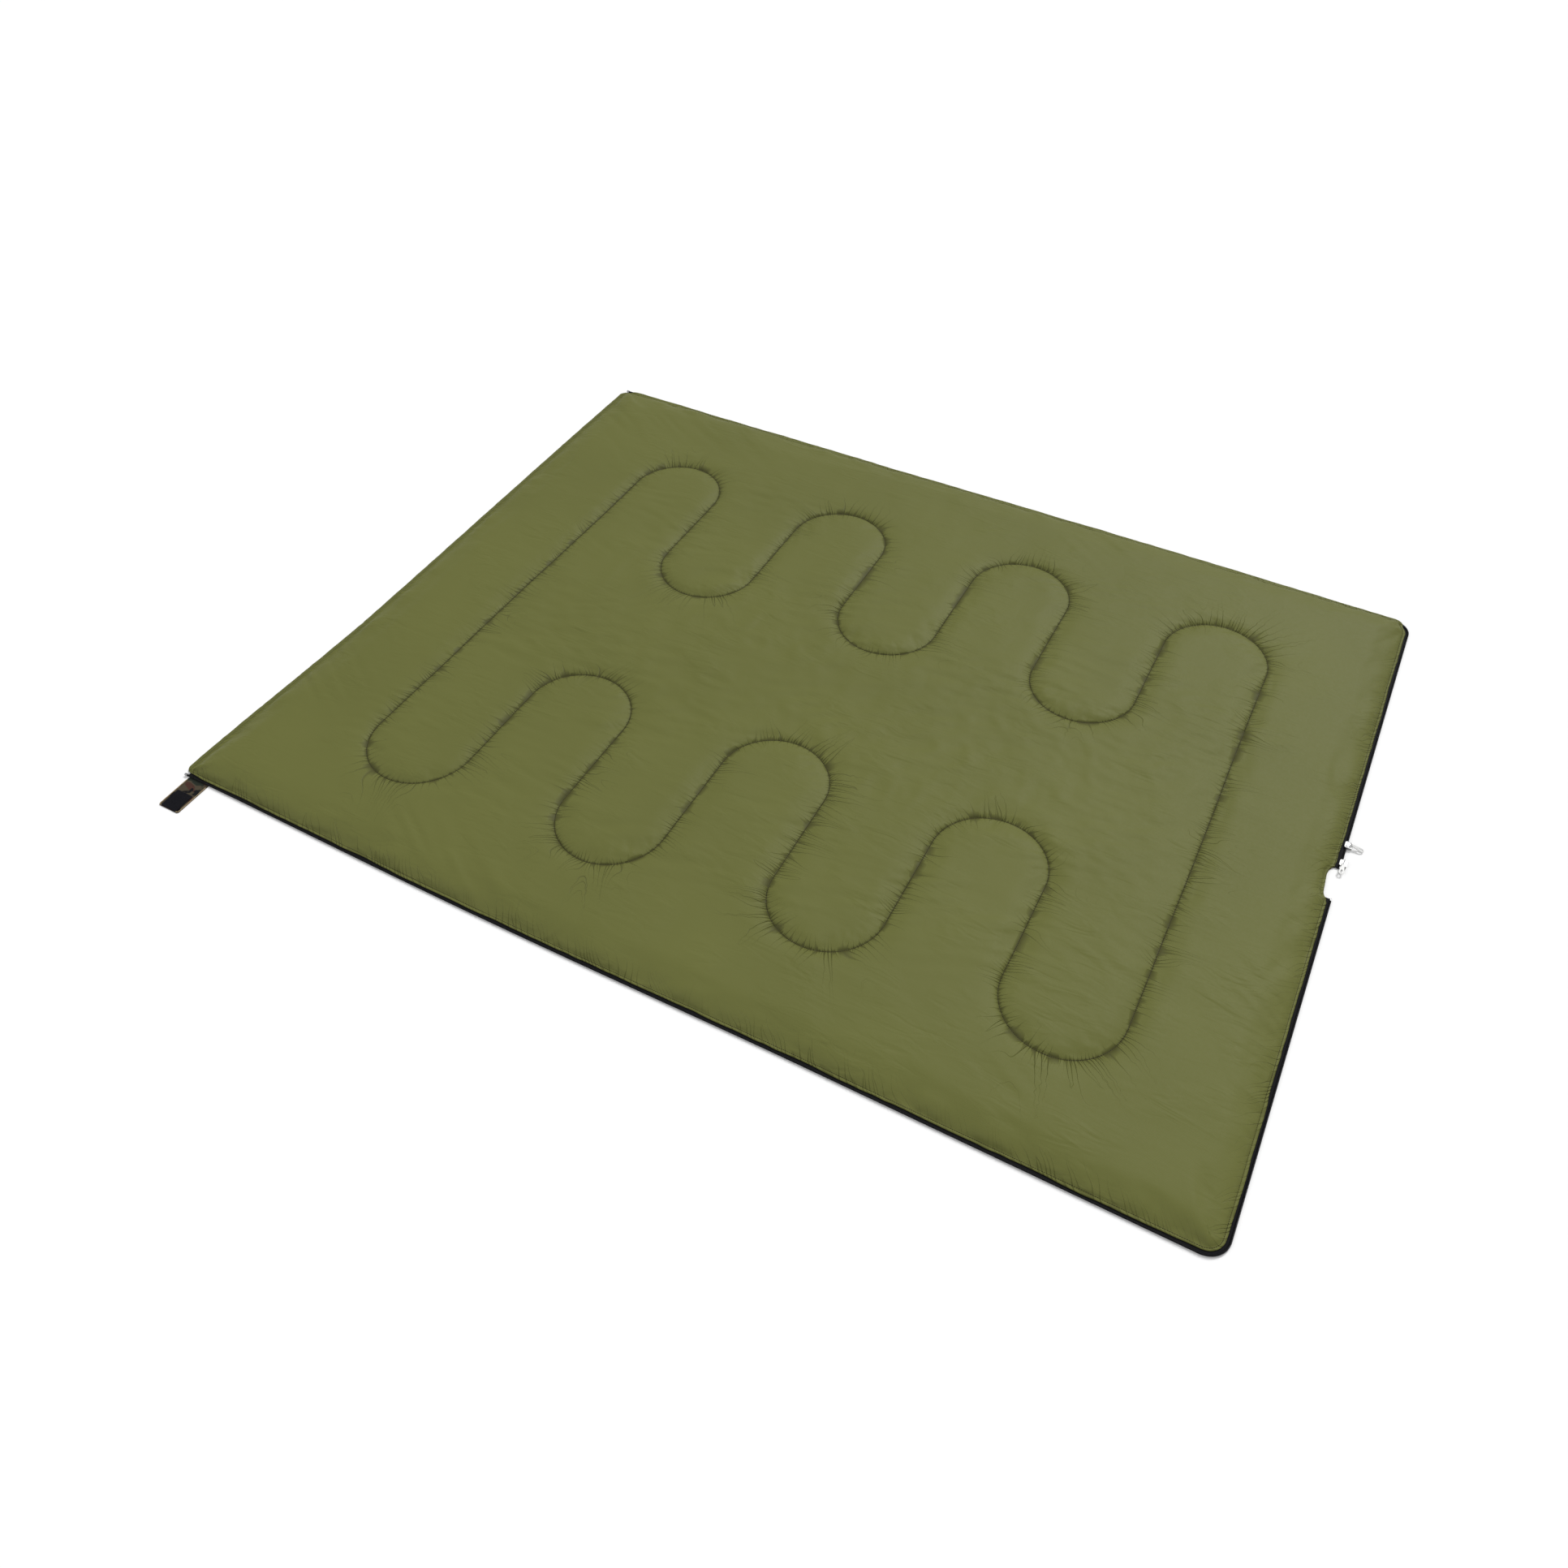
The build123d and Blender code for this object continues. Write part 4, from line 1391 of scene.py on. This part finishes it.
class BAG_OT_stitching(bpy.types.Operator):
    """Sews the quilting seam and the two lines of topstitching beside the zip"""

    bl_idname = "bag.stitching"
    bl_label = "Stitching"

    def execute(self, context):
        quilt, sewing = context.scene.bag_quilt, context.scene.bag_zip
        lining = bpy.data.objects["lining"]
        shape = stitch_shape(sewing.stitch_length, sewing.thread)
        loop, _, _ = seam_loop(quilt, SEAM_STEP)
        seam = dropped_onto(lining, lie(loop), sewing.thread * 0.3)
        quilting = repeat_along(
            "quilting_thread", seam, True, shape, sewing.stitch_pitch, 0.05, 0.06, 3,
            "sewing_thread",
        )
        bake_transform(quilting)
        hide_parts("quilting_near", "quilting_far")
        for side, half in ((-1, "near"), (1, "far")):
            path, _ = zip_edge(quilt, side, sewing.topstitch_inset, 0.003)
            line = dropped_onto(lining, lie(path), sewing.thread * 0.25)
            stitches = repeat_along(
                f"topstitch_thread_{half}", line, False, shape, sewing.stitch_pitch, 0.04, 0.05,
                5, "sewing_thread",
            )
            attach(stitches, f"{half}_half")
            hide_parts(f"topstitch_{half}")
        bpy.data.objects.remove(shape)
        return {"FINISHED"}


class BAG_OT_head_hem(bpy.types.Operator):
    """Rolls the hem along the head end"""

    bl_idname = "bag.head_hem"
    bl_label = "Head hem"

    def execute(self, context):
        quilt = context.scene.bag_quilt
        radius = quilt.head_radius
        reach = HEM_HIGH.y - 0.0002
        stations = np.concatenate([
            np.linspace(-reach, -reach + radius, 14)[:-1],
            np.linspace(-reach + radius, reach - radius, 360),
            np.linspace(reach - radius, reach, 14)[1:],
        ])
        sections = []
        for y in stations:
            beyond = max(abs(y) - (PANEL_HIGH.y - radius), 0)
            low = HEM_LOW.x + radius - half_chord(radius, beyond) + CLEARANCE
            pinch = 1 + 0.10 * float(value_noise(y / 0.011, 0, 21)) + 0.05 * float(
                value_noise(y / 0.004, 0, 22)
            )
            top = 0.0001 + min((HEM_HIGH.z - 0.0002) * pinch, HEM_HIGH.z + 0.0005)
            width = max(HEM_HIGH.x - low, 0.0009)
            sections.append(
                rounded_section(HEM_HIGH.x - width, HEM_HIGH.x, CLEARANCE, top, 0.0017, 4)
            )
        path = np.column_stack([np.zeros(len(stations)), stations])
        outward = np.tile([1.0, 0.0], (len(stations), 1))
        hem = sweep("head_hem", path, outward, sections)
        points = coordinates(hem.data)
        points[:, :2] = lie(points[:, :2])
        put_coordinates(hem.data, points)
        dress(hem, "hem_weave")
        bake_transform(hem)
        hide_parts("head_hem_near", "head_hem_far")
        return {"FINISHED"}


class BAG_OT_zip_tapes(bpy.types.Operator):
    """Weaves the two zip tapes"""

    bl_idname = "bag.zip_tapes"
    bl_label = "Zip tapes"

    def execute(self, context):
        quilt = context.scene.bag_quilt
        inner, outer = -0.0069, TAPE_HIGH.y - PANEL_HIGH.y
        low, high = TAPE_LOW.z + 0.0001, TAPE_HIGH.z - 0.00012
        crown = np.linspace(outer, inner, 9)
        ribs = [(d, high + (0.00008 if k % 2 else -0.00004)) for k, d in enumerate(crown)]
        section = ribs + [(inner, low), ((inner + outer) / 2, low), (outer, low)]
        for side, half in ((-1, "near"), (1, "far")):
            path, outward = zip_edge(quilt, side, 0.0, 0.004)
            tape = sweep(f"zip_tape_woven_{half}", lie(path), outward, section)
            dress(tape, "zip_tape_weave")
            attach(tape, f"{half}_half")
            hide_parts(f"zip_tape_{half}")
        return {"FINISHED"}


class BAG_OT_zip_coils(bpy.types.Operator):
    """Winds the nylon coils on the two tapes"""

    bl_idname = "bag.zip_coils"
    bl_label = "Zip coils"

    def execute(self, context):
        quilt, sewing = context.scene.bag_quilt, context.scene.bag_zip
        wire = 0.00042
        width, height = COIL_HIGH.x - TAPE_HIGH.x + 0.0024, COIL_HIGH.z - COIL_LOW.z
        turn = tube_ring(width - 2 * wire, height - 2 * wire, wire)
        centre = COIL_HIGH.y - PANEL_HIGH.y - width / 2
        level = (COIL_LOW.z + COIL_HIGH.z) / 2
        for side, half in ((-1, "near"), (1, "far")):
            path, outward = zip_edge(quilt, side, 0.0, 0.003)
            run = lie(path) + outward * centre
            fold_end = NEAR_COIL_HIGH.y if side < 0 else COIL_LOW.y
            kept = (run[:, 1] * side > fold_end * side) | (run[:, 0] < 0.9)
            line = np.column_stack([run[kept], np.full(kept.sum(), level)])
            coil = repeat_along(
                f"zip_coil_turns_{half}", line, False, turn, sewing.tooth_pitch, 0.0, 0.0, 1,
                "moulded_nylon",
            )
            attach(coil, f"{half}_half")
            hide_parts(f"zip_coil_{half}")
        bpy.data.objects.remove(turn)
        return {"FINISHED"}


class BAG_OT_zip_metal(bpy.types.Operator):
    """Finishes the stops, the end pins, the sliders, their bails and their pulls"""

    bl_idname = "bag.zip_metal"
    bl_label = "Zip metal"

    def execute(self, context):
        for name in ("top_stop_near", "top_stop_far", "end_pin_near", "end_pin_far",
                     "bail_upper", "bail_lower"):
            dress(bpy.data.objects[name], "stamped_steel")
        for name in ("slider_upper", "slider_lower", "pull_upper", "pull_lower"):
            dress(bpy.data.objects[name], "cast_slider")
        return {"FINISHED"}


class BAG_OT_closure_strap(bpy.types.Operator):
    """Makes the closure strap with its edging, hook patch and loop patch"""

    bl_idname = "bag.closure_strap"
    bl_label = "Closure strap"

    def execute(self, context):
        low_x, high_x = STRAP_LOW.x, STRAP_HIGH.x
        tip_radius = 0.0025
        stations = np.concatenate([
            np.linspace(STRAP_LOW.y, HINGE_Y - 0.003, 26),
            np.linspace(HINGE_Y - 0.0022, HINGE_Y + 0.0022, 9),
            np.linspace(HINGE_Y + 0.003, ROOT_HIGH.y, 7),
        ])
        sections = []
        for y in stations:
            tip = y - STRAP_LOW.y
            round_off = tip_radius - half_chord(tip_radius, max(tip_radius - tip, 0))
            sag = 0.00008 * float(value_noise(y / 0.008, 0, 9))
            rows = np.linspace(high_x - round_off, low_x + round_off, 15)
            top = [
                (
                    x,
                    STRAP_HIGH.z - 0.0002 + sag
                    + 0.0001 * float(value_noise(x / 0.006, y / 0.006, 10)),
                )
                for x in rows
            ]
            sections.append(top + [(x, 0.0001) for x in rows[::-2]])
        path = np.column_stack([np.zeros(len(stations)), stations])
        outward = np.tile([1.0, 0.0], (len(stations), 1))
        strap = sweep("strap_cloth", path, outward, sections)
        dress(strap, "camouflage_print")
        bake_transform(strap)
        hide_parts("closure_strap", "strap_root")

        hem = 0.0018
        corners = [
            (high_x - hem / 2, STRAP_HIGH.y - 0.0008), (high_x - hem / 2, STRAP_LOW.y + 0.004),
            (high_x - hem / 2 - 0.0012, STRAP_LOW.y + 0.002),
            (high_x - hem / 2 - 0.003, STRAP_LOW.y + 0.0016),
        ]
        turned = [(low_x + high_x - x, y) for x, y in corners[::-1]]
        path, _ = even_points(corners + turned, 0.0015)
        outward = path_normals(path)
        edging = sweep(
            "strap_binding", path, outward,
            rounded_section(
                -hem / 2, hem / 2, STRAP_HIGH.z - CLEARANCE, STRAP_HIGH.z + 0.0005, 0.00028
            ),
        )
        dress(edging, "tan_edging")
        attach(edging, "strap")
        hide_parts("strap_edging")

        hook = pad("hook_pad", HOOK_LOW, HOOK_HIGH, 0.0022, 0.0012, 0.0013, 0.0002, 4)
        dress(hook, "hook_tape")
        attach(hook, "strap")
        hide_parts("hook_patch")
        loop = pad("loop_pad", LOOP_LOW, LOOP_HIGH, 0.0022, 0.0008, 0.0020, 0.0, 5)
        dress(loop, "loop_tape")
        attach(loop, "far_half")
        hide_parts("loop_patch")
        return {"FINISHED"}


class BAG_PT_panel(bpy.types.Panel):
    """Lists the bag's pieces in the sidebar"""

    bl_idname = "BAG_PT_panel"
    bl_label = "Sleeping Bag"
    bl_space_type = "VIEW_3D"
    bl_region_type = "UI"
    bl_category = "Sleeping Bag"

    def draw(self, context):
        for operator in OPERATORS:
            self.layout.operator(operator.bl_idname)
        for group in ("bag_quilt", "bag_zip", "bag_finish", "bag_stage"):
            box = self.layout.box()
            settings = getattr(context.scene, group)
            for key in settings.bl_rna.properties.keys():
                if key not in ("rna_type", "name"):
                    box.prop(settings, key)


SETTINGS = {
    "bag_quilt": QuiltSettings,
    "bag_zip": ZipSettings,
    "bag_finish": FinishSettings,
    "bag_stage": StageSettings,
}
OPERATORS = (
    BAG_OT_stage, BAG_OT_lining, BAG_OT_outer_shell, BAG_OT_stitching, BAG_OT_head_hem,
    BAG_OT_zip_tapes, BAG_OT_zip_coils, BAG_OT_zip_metal, BAG_OT_closure_strap,
)


def register():
    for group in SETTINGS.values():
        bpy.utils.register_class(group)
    for name, group in SETTINGS.items():
        setattr(bpy.types.Scene, name, PointerProperty(type=group))
    for operator in OPERATORS:
        bpy.utils.register_class(operator)
    bpy.utils.register_class(BAG_PT_panel)


def unregister():
    bpy.utils.unregister_class(BAG_PT_panel)
    for operator in reversed(OPERATORS):
        bpy.utils.unregister_class(operator)
    for name, group in SETTINGS.items():
        delattr(bpy.types.Scene, name)
        bpy.utils.unregister_class(group)


def main():
    register()
    for operator in OPERATORS:
        group, name = operator.bl_idname.split(".")
        getattr(getattr(bpy.ops, group), name)()


if __name__ == "__main__":
    main()
